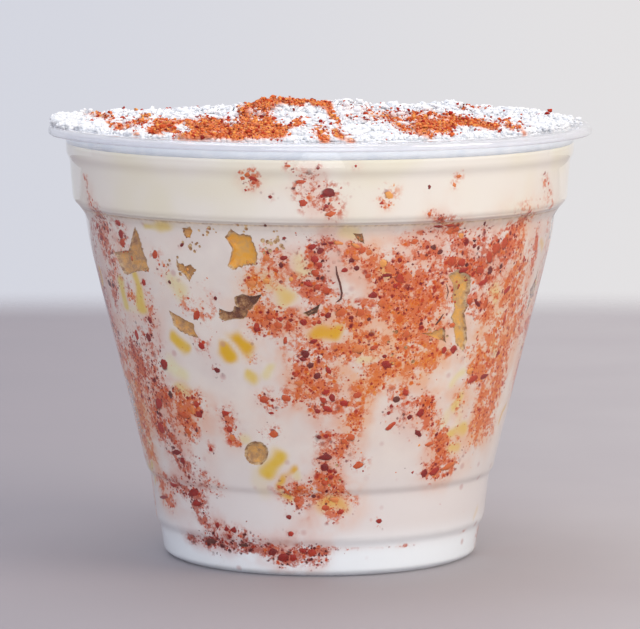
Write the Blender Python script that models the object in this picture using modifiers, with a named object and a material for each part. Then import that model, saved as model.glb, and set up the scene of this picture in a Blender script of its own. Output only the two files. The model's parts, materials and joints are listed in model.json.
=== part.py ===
"""Esquites in a clear squat cup: corn kernels in cream, a plain layer of cream over them, and a heap of
grated cheese dusted with ground chile on top.

The cup stands on the floor at the origin with +Z up. Its front, the side with the most chile, faces -Y.
Places on the wall are given as an angle round the cup from the front, growing towards +X, and a height.
Sizes are in metres, written in millimetres times MM.
"""

import math
import random

import bmesh
import bpy
from mathutils import Matrix, Vector, geometry, noise

MM = 0.001

# Driving dimensions: a squat cup of about 270 ml, whose rim takes the common 92 mm lid.
RIM_RADIUS = 46.0 * MM
RIM_TOP = 73.3 * MM
WALL = 0.45 * MM
GAP = 0.3 * MM  # left between any two pieces that touch in the real cup
SIDES = 48  # facets round the cup and its contents

# The cup's outside, from the floor up.
PUNT_RADIUS, PUNT_HEIGHT = 21.2 * MM, 2.0 * MM  # the raised panel under the cup
CONTACT_INNER, CONTACT_OUTER = 23.6 * MM, 25.6 * MM  # the flat ring that it stands on
FOOT_RADIUS, FOOT_TOP = 27.35 * MM, 5.2 * MM
BAND_LOW, BAND_HIGH = 28.1 * MM, 29.0 * MM  # radii of the stacking band over the foot
BAND_BOTTOM, BAND_TOP = 6.4 * MM, 14.0 * MM
LEDGE_RADIUS, LEDGE_TOP = 29.65 * MM, 15.0 * MM
SHOULDER_RADIUS, SHOULDER_HEIGHT = 39.2 * MM, 53.6 * MM  # where the taper turns more upright
TAPER = math.atan2(SHOULDER_RADIUS - LEDGE_RADIUS, SHOULDER_HEIGHT - LEDGE_TOP)
NECK_RADIUS, NECK_HEIGHT = 39.85 * MM, 58.2 * MM
COLLAR_LOW, COLLAR_HIGH = 41.9 * MM, 42.4 * MM  # radii of the wide collar under the rim
COLLAR_BOTTOM, COLLAR_TOP = 60.7 * MM, 67.4 * MM
LIP_RADIUS, LIP_BOTTOM = 43.0 * MM, 68.2 * MM
CURL = 0.6 * MM  # inside radius of the rolled rim
RIM_FLAT = RIM_RADIUS - WALL - LIP_RADIUS - 2 * CURL  # how far the rim runs level before it curls under
INNER_TURNS = (180, 135, 90)  # the rim's path round its inner bend, in degrees
OUTER_TURNS = (90, 60, 30, 0, -20)  # and round its outer bend, down to its tip

# The contents, from the floor up.
RECESS = 0.9 * MM  # how far the cream lies behind the kernels that press against the wall
FILLING_TOP = 60.1 * MM
CREAM_TOP = 70.2 * MM
HEAP_EDGE = 0.2 * MM  # of the cheese at the cup's wall, above the rim's top
HEAP_SHELF = 0.3 * MM  # of the cheese a little in from the wall, over its edge
BACK_FALL, BACK_REACH = 1.2 * MM, 42 * MM  # how far the heap sinks towards the back, and over how long
MOUNDS = (  # x, y, radius and height of each mound on the heap, in mm
    (-40, 3, 6, 1.5),
    (-29, 6, 8, 0.7),
    (-19, 8, 8, 1.3),
    (-7, 5, 7, 2.7),
    (2, 7, 7, 1.5),
    (13, 12, 8, 1.7),
    (24, 16, 8, 1.7),
    (36, 9, 6, 1.9),
    (-15, -21, 9, 0.6),
    (12, -24, 8, 0.5),
    (29, -13, 8, 0.5),
)
HEAP_POINTS = 360  # spread over the heap's top
RING_SPACING = 4.4 * MM  # between the rings of facets along the filling's taper

KERNEL = (4.6 * MM, 4.0 * MM, 2.4 * MM)  # half the length, width and thickness of a corn kernel
KERNEL_EDGE = 1.3 * MM  # how far its edges are cut back
BACK_KERNELS = 32  # pressed against the wall outside the front
SHRED = (3.4 * MM, 1.3 * MM, 1.1 * MM)  # length, width and thickness of a shred of cheese
SHRED_COUNT = 72
FLAKE = 0.9 * MM  # radius of a coarse flake of chile
FLAKE_COUNT = 20
GOLDEN_ANGLE = 137.508  # turns evenly spread places round the cup, in degrees

# Air pockets between the wall and the filling: angle, height, width, height across and depth.
FRONT_POCKETS = (
    (-52.7, 53.0 * MM, 6.4 * MM, 7.6 * MM, 2.6 * MM),
    (-34.1, 52.0 * MM, 4.4 * MM, 3.8 * MM, 1.8 * MM),
    (-18.8, 55.2 * MM, 5.6 * MM, 6.0 * MM, 2.6 * MM),
    (-19.5, 46.4 * MM, 6.4 * MM, 3.6 * MM, 2.6 * MM),
    (-38.0, 42.3 * MM, 5.4 * MM, 4.0 * MM, 2.0 * MM),
    (38.5, 45.8 * MM, 4.6 * MM, 11.0 * MM, 2.4 * MM),
    (31.5, 42.0 * MM, 5.0 * MM, 4.0 * MM, 1.8 * MM),
)
BACK_POCKETS = 9
FRONT = 64  # how far to each side of the front the named pockets and kernels reach, in degrees

# Kernels that show at the front: angle, height, and how far they are turned in the wall's plane, in degrees.
FRONT_KERNELS = (
    (-40.0, 55.2 * MM, 0),
    (-58.0, 45.4 * MM, 90),
    (-41.0, 35.2 * MM, -45),
    (-43.0, 28.0 * MM, 10),
    (-23.0, 38.8 * MM, 60),
    (-9.0, 47.7 * MM, 30),
    (-4.0, 54.6 * MM, 80),
    (1.0, 41.4 * MM, 10),
    (-12.0, 33.4 * MM, 70),
    (-19.5, 22.0 * MM, 35),
    (-9.8, 18.6 * MM, 60),
    (14.0, 36.0 * MM, 0),
    (27.0, 33.8 * MM, 55),
    (20.0, 53.0 * MM, -30),
    (43.0, 34.0 * MM, 20),
    (43.0, 26.4 * MM, 90),
    (57.0, 44.0 * MM, 75),
    (60.0, 31.0 * MM, 60),
    (6.0, 24.0 * MM, -20),
    (29.0, 22.0 * MM, -70),
)

COLOURS = {
    "cup": (0.90, 0.92, 0.93, 0.3),
    "corn_in_cream": (0.86, 0.76, 0.62, 1.0),
    "cream_layer": (0.88, 0.83, 0.74, 1.0),
    "grated_cheese": (0.93, 0.92, 0.90, 1.0),
}


def material(name, roughness):
    """A plain finish in the piece's own colour."""
    made = bpy.data.materials.new(name)
    made.use_nodes = True
    shader = made.node_tree.nodes["Principled BSDF"]
    shader.inputs["Base Color"].default_value = COLOURS[name][:3] + (1.0,)
    shader.inputs["Roughness"].default_value = roughness
    shader.inputs["Metallic"].default_value = 0.0
    shader.inputs["Alpha"].default_value = COLOURS[name][3]
    return made


def collection(name):
    """A new collection in the scene."""
    made = bpy.data.collections.new(name)
    bpy.context.scene.collection.children.link(made)
    return made


def add_object(name, mesh, home):
    """A new object in a collection."""
    made = bpy.data.objects.new(name, mesh)
    home.objects.link(made)
    return made


def on_wall(angle, radius, height):
    """The point at an angle in degrees from the front, a distance from the cup's axis and a height."""
    turn = math.radians(angle)
    return Vector((radius * math.sin(turn), -radius * math.cos(turn), height))


def cup_skin():
    """The cup's outside, from the middle of its underside to the tip of the rolled rim: (radius, height)."""
    outline = [
        (0.0, PUNT_HEIGHT),
        (PUNT_RADIUS, PUNT_HEIGHT),
        (CONTACT_INNER, 0.0),
        (CONTACT_OUTER, 0.0),
        (CONTACT_OUTER + 1.1 * MM, 0.8 * MM),
        (FOOT_RADIUS, FOOT_TOP),
        (BAND_LOW, BAND_BOTTOM),
        (BAND_HIGH - 0.2 * MM, BAND_TOP - 1.4 * MM),
        (BAND_HIGH, BAND_TOP),
        (LEDGE_RADIUS, LEDGE_TOP),
        (SHOULDER_RADIUS, SHOULDER_HEIGHT),
        (NECK_RADIUS, NECK_HEIGHT),
        (COLLAR_LOW - 0.8 * MM, COLLAR_BOTTOM - 1.1 * MM),
        (COLLAR_LOW, COLLAR_BOTTOM),
        (COLLAR_HIGH, COLLAR_TOP),
        (LIP_RADIUS, LIP_BOTTOM),
    ]
    for shift, turns in ((0, INNER_TURNS), (RIM_FLAT, OUTER_TURNS)):
        for turn in turns:
            across, up = CURL * math.cos(math.radians(turn)), CURL * math.sin(math.radians(turn))
            outline.append((LIP_RADIUS + CURL + shift + across, RIM_TOP - WALL - CURL + up))
    return outline


def inset(outline, distance):
    """The outline moved square to itself into the cup, with mitred corners."""
    points = [Vector(point) for point in outline]
    runs = [(b - a).normalized() for a, b in zip(points, points[1:])]
    sides = [Vector((-run.y, run.x)) for run in runs]
    moved = []
    for i, point in enumerate(points):
        before, after = sides[max(i - 1, 0)], sides[min(i, len(sides) - 1)]
        shift = (before + after) * distance / (1 + before.dot(after))
        moved.append((point.x + shift.x, point.y + shift.y))
    return moved


def inside_wall(distance):
    """The cup's inside up to the rim's curl, moved in by a distance from the plastic."""
    return inset(cup_skin(), WALL + distance)[: 1 - len(INNER_TURNS + OUTER_TURNS)]


def radius_at(outline, height):
    """The outline's radius at a height above the foot's ring, where it has only one."""
    for (r0, h0), (r1, h1) in zip(outline[4:], outline[5:]):
        if h0 <= height <= h1:
            return r0 + (r1 - r0) * (height - h0) / (h1 - h0)
    return outline[-1][0]


def divided(outline, spacing):
    """The outline with points added along its long runs."""
    made = [outline[0]]
    for (r0, h0), (r1, h1) in zip(outline, outline[1:]):
        parts = max(1, round(math.hypot(r1 - r0, h1 - h0) / spacing))
        made += [(r0 + (r1 - r0) * k / parts, h0 + (h1 - h0) * k / parts) for k in range(1, parts + 1)]
    return made


def screw(name, outline, home):
    """A turned object from an outline that runs up its outside, with the Screw modifier still on it."""
    mesh = bpy.data.meshes.new(name)
    bm = bmesh.new()
    corners = [bm.verts.new((radius, 0, height)) for radius, height in reversed(outline)]
    for a, b in zip(corners, corners[1:]):
        bm.edges.new((a, b))
    bm.to_mesh(mesh)
    bm.free()
    made = add_object(name, mesh, home)
    turn = made.modifiers.new("turn", "SCREW")
    turn.steps = turn.render_steps = SIDES
    turn.use_merge_vertices = True
    turn.merge_threshold = 0.00001
    return made


def settle(made):
    """Applies an object's modifiers."""
    evaluated = made.evaluated_get(bpy.context.evaluated_depsgraph_get())
    mesh = bpy.data.meshes.new_from_object(evaluated)
    made.modifiers.clear()
    made.data = mesh


def drop_scraps(made):
    """Removes what a join left loose beside a piece's main body."""
    bm = bmesh.new()
    bm.from_mesh(made.data)
    loose, bodies = set(bm.verts), []
    while loose:
        body, edge = set(), {next(iter(loose))}
        while edge:
            body |= edge
            edge = {link.other_vert(point) for point in edge for link in point.link_edges} - body
        bodies.append(body)
        loose -= body
    main_body = max(bodies, key=len)
    bmesh.ops.delete(bm, geom=[point for point in bm.verts if point not in main_body], context="VERTS")
    bm.to_mesh(made.data)
    bm.free()


def join(made, pieces, operation):
    """Joins a collection's objects to a piece, or cuts them from it, and removes them."""
    step = made.modifiers.new(operation.lower(), "BOOLEAN")
    step.operation = operation
    step.operand_type = "COLLECTION"
    step.collection = pieces
    settle(made)
    for piece in list(pieces.objects):
        bpy.data.objects.remove(piece)
    bpy.data.collections.remove(pieces)
    drop_scraps(made)


def roughen(made, size, depth, low, high):
    """Moves a turned piece's points in or out by a noise of a given size, between two heights."""
    bm = bmesh.new()
    bm.from_mesh(made.data)
    bm.normal_update()
    for point in bm.verts:
        if low < point.co.z < high:
            point.co += point.normal * depth * noise.noise(point.co / size)
    bm.to_mesh(made.data)
    bm.free()


def finish(made, roughness):
    """Gives a piece its material and smooth shading between its sharper edges."""
    made.data.materials.clear()
    made.data.materials.append(material(made.name, roughness))
    made.data.shade_smooth()
    made.data.set_sharp_from_angle(angle=math.radians(35))


def build_cup(home):
    """The clear cup: one thin skin from the raised underside to the rolled rim."""
    made = screw("cup", cup_skin(), home)
    wall = made.modifiers.new("wall", "SOLIDIFY")
    wall.thickness = WALL
    wall.offset = -1.0
    wall.use_even_offset = True
    settle(made)
    finish(made, 0.08)


def pocket_places(draw):
    """The air pockets seen at the front, and others like them round the back."""
    places = list(FRONT_POCKETS)
    for k in range(BACK_POCKETS):
        angle = FRONT + 14 + (k + draw.uniform(0.2, 0.8)) * (332 - 2 * FRONT) / BACK_POCKETS
        height = draw.uniform(24, 55) * MM
        width, tall = draw.uniform(4.0, 6.5) * MM, draw.uniform(3.6, 8.0) * MM
        places.append((angle, height, width, tall, draw.uniform(1.8, 2.6) * MM))
    return places


def add_pocket(place, wall, draw, home):
    """One cutter: a rough lump half sunk in the filling's side."""
    angle, height, width, tall, depth = place
    mesh = bpy.data.meshes.new("pocket")
    bm = bmesh.new()
    bmesh.ops.create_icosphere(bm, subdivisions=1, radius=1.0)
    for point in bm.verts:
        point.co *= draw.uniform(0.75, 1.2)
    bmesh.ops.scale(bm, vec=(width / 2, depth, tall / 2), verts=bm.verts)
    bm.to_mesh(mesh)
    bm.free()
    made = add_object("pocket", mesh, home)
    middle = Matrix.Translation(on_wall(angle, radius_at(wall, height), height))
    made.matrix_world = middle @ Matrix.Rotation(math.radians(angle), 4, "Z")


def kernel_mesh():
    """A corn kernel lying on its broad side: a blunt tooth, wide at +X, with its edges cut back."""
    mesh = bpy.data.meshes.new("kernel")
    bm = bmesh.new()
    bmesh.ops.create_cube(bm, size=2.0)
    for corner in bm.verts:
        if corner.co.x < 0:
            corner.co.y *= 0.5
            corner.co.z *= 0.8
    bmesh.ops.scale(bm, vec=KERNEL, verts=bm.verts)
    bmesh.ops.bevel(
        bm, geom=bm.edges, affect="EDGES", offset=KERNEL_EDGE, segments=1, profile=0.5, material=-1
    )
    bm.to_mesh(mesh)
    bm.free()
    return mesh


def add_kernel(mesh, wall, angle, height, turn, lean, home):
    """One kernel flat against the tapered wall, turned in its plane and leaned a little."""
    stand = (
        Matrix.Rotation(math.radians(angle), 4, "Z")
        @ Matrix.Rotation(math.pi / 2 + TAPER, 4, "X")
        @ Matrix.Rotation(turn, 4, "Z")
        @ Matrix.Rotation(lean, 4, "Y")
    )
    middle = on_wall(angle, radius_at(wall, height), height)
    corners = [middle + stand.to_3x3() @ corner.co for corner in mesh.vertices]
    over = max(math.hypot(c.x, c.y) - radius_at(wall, c.z) for c in corners)
    made = add_object("kernel", mesh, home)
    made.matrix_world = Matrix.Translation(middle - on_wall(angle, over, 0)) @ stand


def build_filling(home):
    """Corn in cream up to the collar: a core of cream with air pockets in its side and kernels fused on."""
    draw = random.Random(7)
    outline = [point for point in inside_wall(GAP) if point[1] < FILLING_TOP]
    outline = divided(outline, RING_SPACING)
    recessed = [(r - (RECESS if h > LEDGE_TOP + 1.2 * MM else 0), h) for r, h in outline]
    recessed += [(radius_at(inside_wall(GAP + RECESS), FILLING_TOP), FILLING_TOP), (0, FILLING_TOP)]
    made = screw("corn_in_cream", recessed, home)
    settle(made)
    roughen(made, 7 * MM, 0.45 * MM, LEDGE_TOP + 2 * MM, FILLING_TOP - 2 * MM)

    pockets = collection("pockets")
    wall = inside_wall(GAP)
    for place in pocket_places(draw):
        add_pocket(place, wall, draw, pockets)
    join(made, pockets, "DIFFERENCE")

    kernels = collection("kernels")
    mesh = kernel_mesh()
    for angle, height, turn in FRONT_KERNELS:
        add_kernel(mesh, wall, angle, height, math.radians(turn), draw.uniform(-0.08, 0.08), kernels)
    low, high = LEDGE_TOP + 5 * MM, FILLING_TOP - 5 * MM
    for k in range(BACK_KERNELS):
        angle = FRONT + 12 + (k * GOLDEN_ANGLE) % (336 - 2 * FRONT)
        height = low + (high - low) * ((k + 0.5) / BACK_KERNELS) ** 0.85
        turn, lean = draw.uniform(0, math.tau), draw.uniform(-0.08, 0.08)
        add_kernel(mesh, wall, angle, height, turn, lean, kernels)
    join(made, kernels, "UNION")
    finish(made, 0.45)


def build_cream(home):
    """The layer of plain cream that fills the collar over the corn."""
    bottom = FILLING_TOP + GAP
    wall = inside_wall(GAP)
    side = [point for point in wall if bottom + 0.2 * MM < point[1] < CREAM_TOP - 0.2 * MM]
    outline = [(0, bottom), (radius_at(wall, bottom), bottom), *side]
    outline += [(radius_at(wall, CREAM_TOP), CREAM_TOP), (0, CREAM_TOP)]
    made = screw("cream_layer", outline, home)
    settle(made)
    finish(made, 0.4)


def heap_top(x, y, edge):
    """The height of the cheese's top at a place: uneven, with mounds, and sinking towards the back."""
    share = min(math.hypot(x, y) / edge, 1.0)
    place = Vector((x, y, 0)) / MM
    uneven = 0.6 * noise.noise(place / 7) + 0.4 * noise.noise(place / 3)
    for mound_x, mound_y, wide, high in MOUNDS:
        uneven += high * math.exp(-((place.x - mound_x) ** 2 + (place.y - mound_y) ** 2) / wide**2)
    sunk = BACK_FALL * min(max(y / BACK_REACH, 0), 1) ** 1.3
    return RIM_TOP + HEAP_EDGE - sunk + (HEAP_SHELF + uneven * MM) * math.sqrt(1 - share**6)


def sunflower(count, reach):
    """Places spread evenly over a disc, from its middle out: (x, y)."""
    for k in range(count):
        radius, turn = reach * math.sqrt((k + 0.5) / count), math.radians(k * GOLDEN_ANGLE)
        yield radius * math.sin(turn), -radius * math.cos(turn)


def heap_core(edge, bottom):
    """The closed body of the heap: an evenly faceted top over a straight side and a flat underside."""
    ring = [on_wall(360 * k / SIDES, edge, 0) for k in range(SIDES)]
    inner = sunflower(HEAP_POINTS, edge - 2 * MM)
    places = [place.xy for place in ring] + [Vector(place) for place in inner]
    spread, _, facets, *_ = geometry.delaunay_2d_cdt(places, [], [], 0, 0.01 * MM)
    bm = bmesh.new()
    points = [bm.verts.new((place.x, place.y, heap_top(place.x, place.y, edge))) for place in spread]
    for facet in facets:
        bm.faces.new([points[i] for i in facet])
    border = [line for line in bm.edges if line.is_boundary]
    made = bmesh.ops.extrude_edge_only(bm, edges=border)["geom"]
    for point in made:
        if isinstance(point, bmesh.types.BMVert):
            point.co.z = bottom
    bmesh.ops.holes_fill(bm, edges=[line for line in bm.edges if line.is_boundary])
    bmesh.ops.recalc_face_normals(bm, faces=bm.faces)
    mesh = bpy.data.meshes.new("grated_cheese")
    bm.to_mesh(mesh)
    bm.free()
    return mesh


def shred_mesh(draw):
    """One short uneven shred of cheese, its length along X."""
    mesh = bpy.data.meshes.new("shred")
    bm = bmesh.new()
    bmesh.ops.create_cube(bm, size=1.0)
    for point in bm.verts:
        point.co.y *= draw.uniform(0.6, 1.2)
        point.co.z *= draw.uniform(0.7, 1.2)
    bmesh.ops.scale(bm, vec=Vector(SHRED) * draw.uniform(0.75, 1.2), verts=bm.verts)
    bm.to_mesh(mesh)
    bm.free()
    return mesh


def flake_mesh():
    """One coarse flake of chile: a thick scale with five sides."""
    mesh = bpy.data.meshes.new("flake")
    bm = bmesh.new()
    bmesh.ops.create_cone(bm, cap_ends=True, segments=5, radius1=FLAKE, radius2=0.6 * FLAKE, depth=FLAKE)
    bm.to_mesh(mesh)
    bm.free()
    return mesh


def lay(mesh, place, turn, lean, home):
    """Lays a shred or a flake on the heap, turned about Z and leaned about its own cross axis."""
    made = add_object(mesh.name, mesh, home)
    stand = Matrix.Rotation(turn, 4, "Z") @ Matrix.Rotation(lean, 4, "Y")
    made.matrix_world = Matrix.Translation(place) @ stand


def build_cheese(home):
    """The heap of grated cheese that stands over the rim, with shreds and coarse chile flakes fused on."""
    draw = random.Random(11)
    edge = radius_at(inside_wall(GAP), LIP_BOTTOM)
    made = add_object("grated_cheese", heap_core(edge, CREAM_TOP + GAP), home)

    toppings = collection("toppings")
    for x, y in sunflower(SHRED_COUNT, edge - 0.55 * SHRED[0]):
        place = (x, y, heap_top(x, y, edge) + draw.uniform(0.1, 0.5) * MM)
        lay(shred_mesh(draw), place, draw.uniform(0, math.tau), draw.uniform(-0.4, 0.4), toppings)
    flake = flake_mesh()
    for x, y in sunflower(FLAKE_COUNT, edge - 4 * MM):
        place = (-x, y, heap_top(-x, y, edge) + draw.uniform(0.2, 0.5) * MM)
        lay(flake, place, draw.uniform(0, math.tau), draw.uniform(-0.3, 0.3), toppings)
    join(made, toppings, "UNION")
    finish(made, 0.9)


def main():
    for old in list(bpy.data.objects):
        bpy.data.objects.remove(old)
    home = collection("esquites")
    build_cup(home)
    build_filling(home)
    build_cream(home)
    build_cheese(home)


main()
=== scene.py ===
import json
import math
import random

import bmesh
import bpy
import numpy as np
from mathutils import Matrix, Vector, noise
from mathutils.bvhtree import BVHTree

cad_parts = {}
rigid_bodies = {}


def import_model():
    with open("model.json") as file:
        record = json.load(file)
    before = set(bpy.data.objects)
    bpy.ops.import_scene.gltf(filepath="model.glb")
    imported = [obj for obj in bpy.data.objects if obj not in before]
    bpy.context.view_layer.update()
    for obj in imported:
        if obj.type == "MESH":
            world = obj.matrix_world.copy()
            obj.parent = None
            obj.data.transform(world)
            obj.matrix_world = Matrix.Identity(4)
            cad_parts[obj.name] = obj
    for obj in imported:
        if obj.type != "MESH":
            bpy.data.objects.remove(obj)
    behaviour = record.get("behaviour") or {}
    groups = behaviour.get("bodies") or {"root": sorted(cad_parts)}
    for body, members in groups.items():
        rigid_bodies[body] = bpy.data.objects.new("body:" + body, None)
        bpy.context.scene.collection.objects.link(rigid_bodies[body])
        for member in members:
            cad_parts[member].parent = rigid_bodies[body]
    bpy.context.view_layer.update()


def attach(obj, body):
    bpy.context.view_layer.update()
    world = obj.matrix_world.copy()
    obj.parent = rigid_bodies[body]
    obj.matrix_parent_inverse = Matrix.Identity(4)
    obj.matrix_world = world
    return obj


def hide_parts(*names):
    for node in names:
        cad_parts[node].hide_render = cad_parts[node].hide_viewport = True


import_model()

# ---------------------------------------------------------------------------------------------------------
# The cup: one thin clear plastic skin, drawn down from a sheet, with a raised panel underneath, a stacking
# band over the foot, a tapered wall, a wide collar and a rim that is rolled outwards.
# ---------------------------------------------------------------------------------------------------------
MM = 0.001
PLASTIC = 0.45  # the wall's thickness, in mm
CUP_CORNERS = (  # radius, height and how far the corner is rounded off, in mm, on the outside
    (0.0, 2.0, 0.0),
    (21.2, 2.0, 0.9),
    (23.6, 0.0, 0.7),
    (25.6, 0.0, 0.8),
    (26.7, 0.8, 0.5),
    (27.35, 5.2, 0.5),
    (28.1, 6.4, 0.6),
    (28.8, 12.6, 0.7),
    (29.0, 14.0, 0.4),
    (29.65, 15.0, 0.5),
    (39.2, 53.6, 3.0),
    (39.85, 58.2, 0.6),
    (40.8, 59.6, 0.4),
    (41.9, 60.8, 0.6),
    (42.4, 67.5, 0.6),
    (43.0, 68.7, 0.6),
)
RIM_INSIDE, RIM_HEIGHT, ROLL = 43.0, 72.25, 0.6  # the rim's inner radius, middle height and bend radius
RIM_FLAT = 1.35  # how far the rim runs level before it rolls under
RIM_TOP = RIM_HEIGHT + ROLL + PLASTIC
CUP_ROUND = 192  # facets round the cup
CLOUDY_FROM, CLOUDY_TO = 70.5, 72  # the heights over which the plastic turns cloudy towards its rim


def rounded(corners, steps=5):
    """An outline of (radius, height) whose corners are eased with short curves."""
    points = [Vector(corner[:2]) for corner in corners]
    made = [points[0]]
    for before, point, after, ease in zip(points, points[1:], points[2:], [c[2] for c in corners[1:]]):
        ease = min(ease, 0.48 * (point - before).length, 0.48 * (after - point).length)
        start = point + (before - point).normalized() * ease
        end = point + (after - point).normalized() * ease
        for k in range(steps + 1):
            t = k / steps
            made.append(start * (1 - t) ** 2 + point * 2 * t * (1 - t) + end * t**2)
    made.append(points[-1])
    return made


def rim_roll():
    """The rim's outline: round its inner edge, level outwards, and rolled under to its tip."""
    for middle, first, last in ((RIM_INSIDE + ROLL, 180, 90), (RIM_INSIDE + ROLL + RIM_FLAT, 90, -20)):
        for turn in range(first, last - 1, -10):
            bend = math.radians(turn)
            yield Vector((middle + ROLL * math.cos(bend), RIM_HEIGHT + ROLL * math.sin(bend)))


cup_wall = rounded((*CUP_CORNERS, (RIM_INSIDE, RIM_HEIGHT, 0.0)))
cup_skin = cup_wall[:-1] + list(rim_roll())


def turned(name, outline, steps):
    """A mesh turned about the cup's axis from an outline of (radius, height) in mm, bottom first."""
    bm = bmesh.new()
    points = [bm.verts.new((0, -radius * MM, height * MM)) for radius, height in outline]
    lines = [bm.edges.new(pair) for pair in zip(points, points[1:])]
    wedge, doublings = math.tau / 16, 4
    bmesh.ops.spin(bm, geom=points + lines, axis=(0, 0, 1), angle=wedge, steps=steps // 2**doublings)
    for _ in range(doublings):
        copied = bmesh.ops.duplicate(bm, geom=bm.verts[:] + bm.edges[:] + bm.faces[:])["geom"]
        corners = [part for part in copied if isinstance(part, bmesh.types.BMVert)]
        bmesh.ops.rotate(bm, verts=corners, matrix=Matrix.Rotation(wedge, 3, "Z"))
        wedge *= 2
    bmesh.ops.remove_doubles(bm, verts=bm.verts, dist=0.002 * MM)
    bmesh.ops.recalc_face_normals(bm, faces=bm.faces)
    underneath = min(bm.faces, key=lambda face: face.calc_center_median().z)
    if underneath.normal.z > 0:
        bmesh.ops.reverse_faces(bm, faces=bm.faces)
    mesh = bpy.data.meshes.new(name)
    bm.to_mesh(mesh)
    bm.free()
    mesh.shade_smooth()
    return mesh


def piece(name, mesh, finish):
    """A finished piece of the object, in its place."""
    made = bpy.data.objects.new(name, mesh)
    bpy.context.scene.collection.objects.link(made)
    mesh.materials.clear()
    mesh.materials.append(finish)
    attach(made, "root")
    return made


def colour(red, green, blue):
    """A colour as seen on a screen, 0 to 255, as a shader takes it."""
    shares = [c / 255 for c in (red, green, blue)]
    return [c / 12.92 if c <= 0.04045 else ((c + 0.055) / 1.055) ** 2.4 for c in shares] + [1.0]


def new_finish(name):
    """A new material with its node tree and its Principled shader."""
    made = bpy.data.materials.new(name)
    made.use_nodes = True
    return made, made.node_tree, made.node_tree.nodes["Principled BSDF"]


def node(tree, kind, inputs=None, **settings):
    """Adds a shader node. An input takes a number, a colour or another node's output."""
    made = tree.nodes.new("ShaderNode" + kind)
    for key, value in settings.items():
        setattr(made, key, value)
    for key, value in (inputs or {}).items():
        if isinstance(value, bpy.types.NodeSocket):
            tree.links.new(value, made.inputs[key])
        else:
            made.inputs[key].default_value = value
    return made


def place_of(tree):
    """The place on the object, in metres."""
    return node(tree, "TexCoord").outputs["Object"]


def mottle(tree, per_metre, detail=2.0, rough=0.5, other=0.0):
    """An uneven pattern with so many features to a metre. Another number gives another pattern."""
    inputs = {"Vector": place_of(tree), "W": other, "Scale": per_metre, "Detail": detail, "Roughness": rough}
    return node(tree, "TexNoise", inputs, noise_dimensions="4D").outputs["Fac"]


def between(tree, value, low, high, to_low=0.0, to_high=1.0):
    """A value eased from to_low at low to to_high at high."""
    inputs = {"Value": value, "From Min": low, "From Max": high, "To Min": to_low, "To Max": to_high}
    return node(tree, "MapRange", inputs, interpolation_type="SMOOTHSTEP").outputs["Result"]


def blend(tree, share, first, second):
    """One colour laid over another by a share."""
    return node(tree, "Mix", {0: share, 6: first, 7: second}, data_type="RGBA").outputs[2]


def maths(tree, operation, first, second):
    """A sum, product or other result of two values, kept between 0 and 1."""
    return node(tree, "Math", {0: first, 1: second}, operation=operation, use_clamp=True).outputs[0]


def roughness(tree, shader, pattern, least, most):
    """Lets a shader's roughness follow a pattern, from least to most."""
    tree.links.new(between(tree, pattern, 0.3, 0.7, least, most), shader.inputs["Roughness"])


def relief(tree, shader, height, distance, strength=1.0):
    """Roughens a shader's surface by a height pattern, in metres at most."""
    bump = node(tree, "Bump", {"Height": height, "Distance": distance, "Strength": strength})
    tree.links.new(bump.outputs["Normal"], shader.inputs["Normal"])


def clear_plastic():
    """Clear PET, faintly wavy and cloudier in its rolled rim. Light reaches the food through it."""
    made, tree, shader = new_finish("clear_plastic")
    height = node(tree, "SeparateXYZ", {"Vector": place_of(tree)}).outputs["Z"]
    cloudy = between(tree, height, CLOUDY_FROM * MM, CLOUDY_TO * MM)
    skin = blend(tree, cloudy, colour(250, 252, 253), colour(238, 239, 243))
    tree.links.new(skin, shader.inputs["Base Color"])
    clear = between(tree, height, CLOUDY_FROM * MM, CLOUDY_TO * MM, 1.0, 0.74)
    tree.links.new(clear, shader.inputs["Transmission Weight"])
    shader.inputs["IOR"].default_value = 1.5
    tree.links.new(between(tree, mottle(tree, 60), 0.35, 0.7, 0.02, 0.06), shader.inputs["Roughness"])
    relief(tree, shader, mottle(tree, 90, 1.0), 0.03 * MM)
    rays = node(tree, "LightPath").outputs
    passed = node(tree, "BsdfTransparent", {"Color": colour(248, 250, 252)})
    lit = maths(tree, "MAXIMUM", rays["Is Shadow Ray"], rays["Is Diffuse Ray"])
    both = node(tree, "MixShader", {0: lit, 1: shader.outputs[0], 2: passed.outputs[0]})
    tree.links.new(both.outputs[0], tree.nodes["Material Output"].inputs["Surface"])
    return made


cup = piece("clear_cup", turned("clear_cup", cup_skin, CUP_ROUND), clear_plastic())
wall = cup.modifiers.new("wall", "SOLIDIFY")
wall.thickness = PLASTIC * MM
wall.offset = -1.0
wall.use_even_offset = True
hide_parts("cup")

# ---------------------------------------------------------------------------------------------------------
# The corn in cream: kernels stirred into thick cream with ground chile and pressed against the wall, which
# it wets all over except at air pockets. The pockets are cut from the body, and the kernels, chile and
# pockets are then painted on its surface by where they lie, the pockets with painted shade at their edges
# and in the darker ones.
# ---------------------------------------------------------------------------------------------------------
CAMERA_PLACE = Vector((0.0, -0.700, 0.1236))
CAMERA_DIP = math.radians(6.76)  # below level
FOCAL_PIXELS = 4137.0
PICTURE = (640, 629)
PIXELS_PER_MM = 6.0  # at the front of the wall
NEAREST, FURTHEST = 0.63, 0.76  # how far from the camera the wall can be, in metres
SUNK = 0.30  # mm from the plastic's outside to the food pressed against it, so that no air lies between
FILLING_TOP = 60.3
ROW = 0.46  # mm between the rows of facets up the wall
ROUND = 456  # facets round the filling
FLOOR_RADIUS, FLOOR_STEP = 21, 6  # within this radius only every so many of the facets' rows are kept
POCKETS_FROM, POCKETS_TO = 8, 59.9  # the heights between which there are pockets, in mm

wall_heights = [point.y * MM for point in cup_wall if point.y > 0.9 and point.x > 26]
wall_radii = [point.x * MM for point in cup_wall if point.y > 0.9 and point.x > 26]


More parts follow.
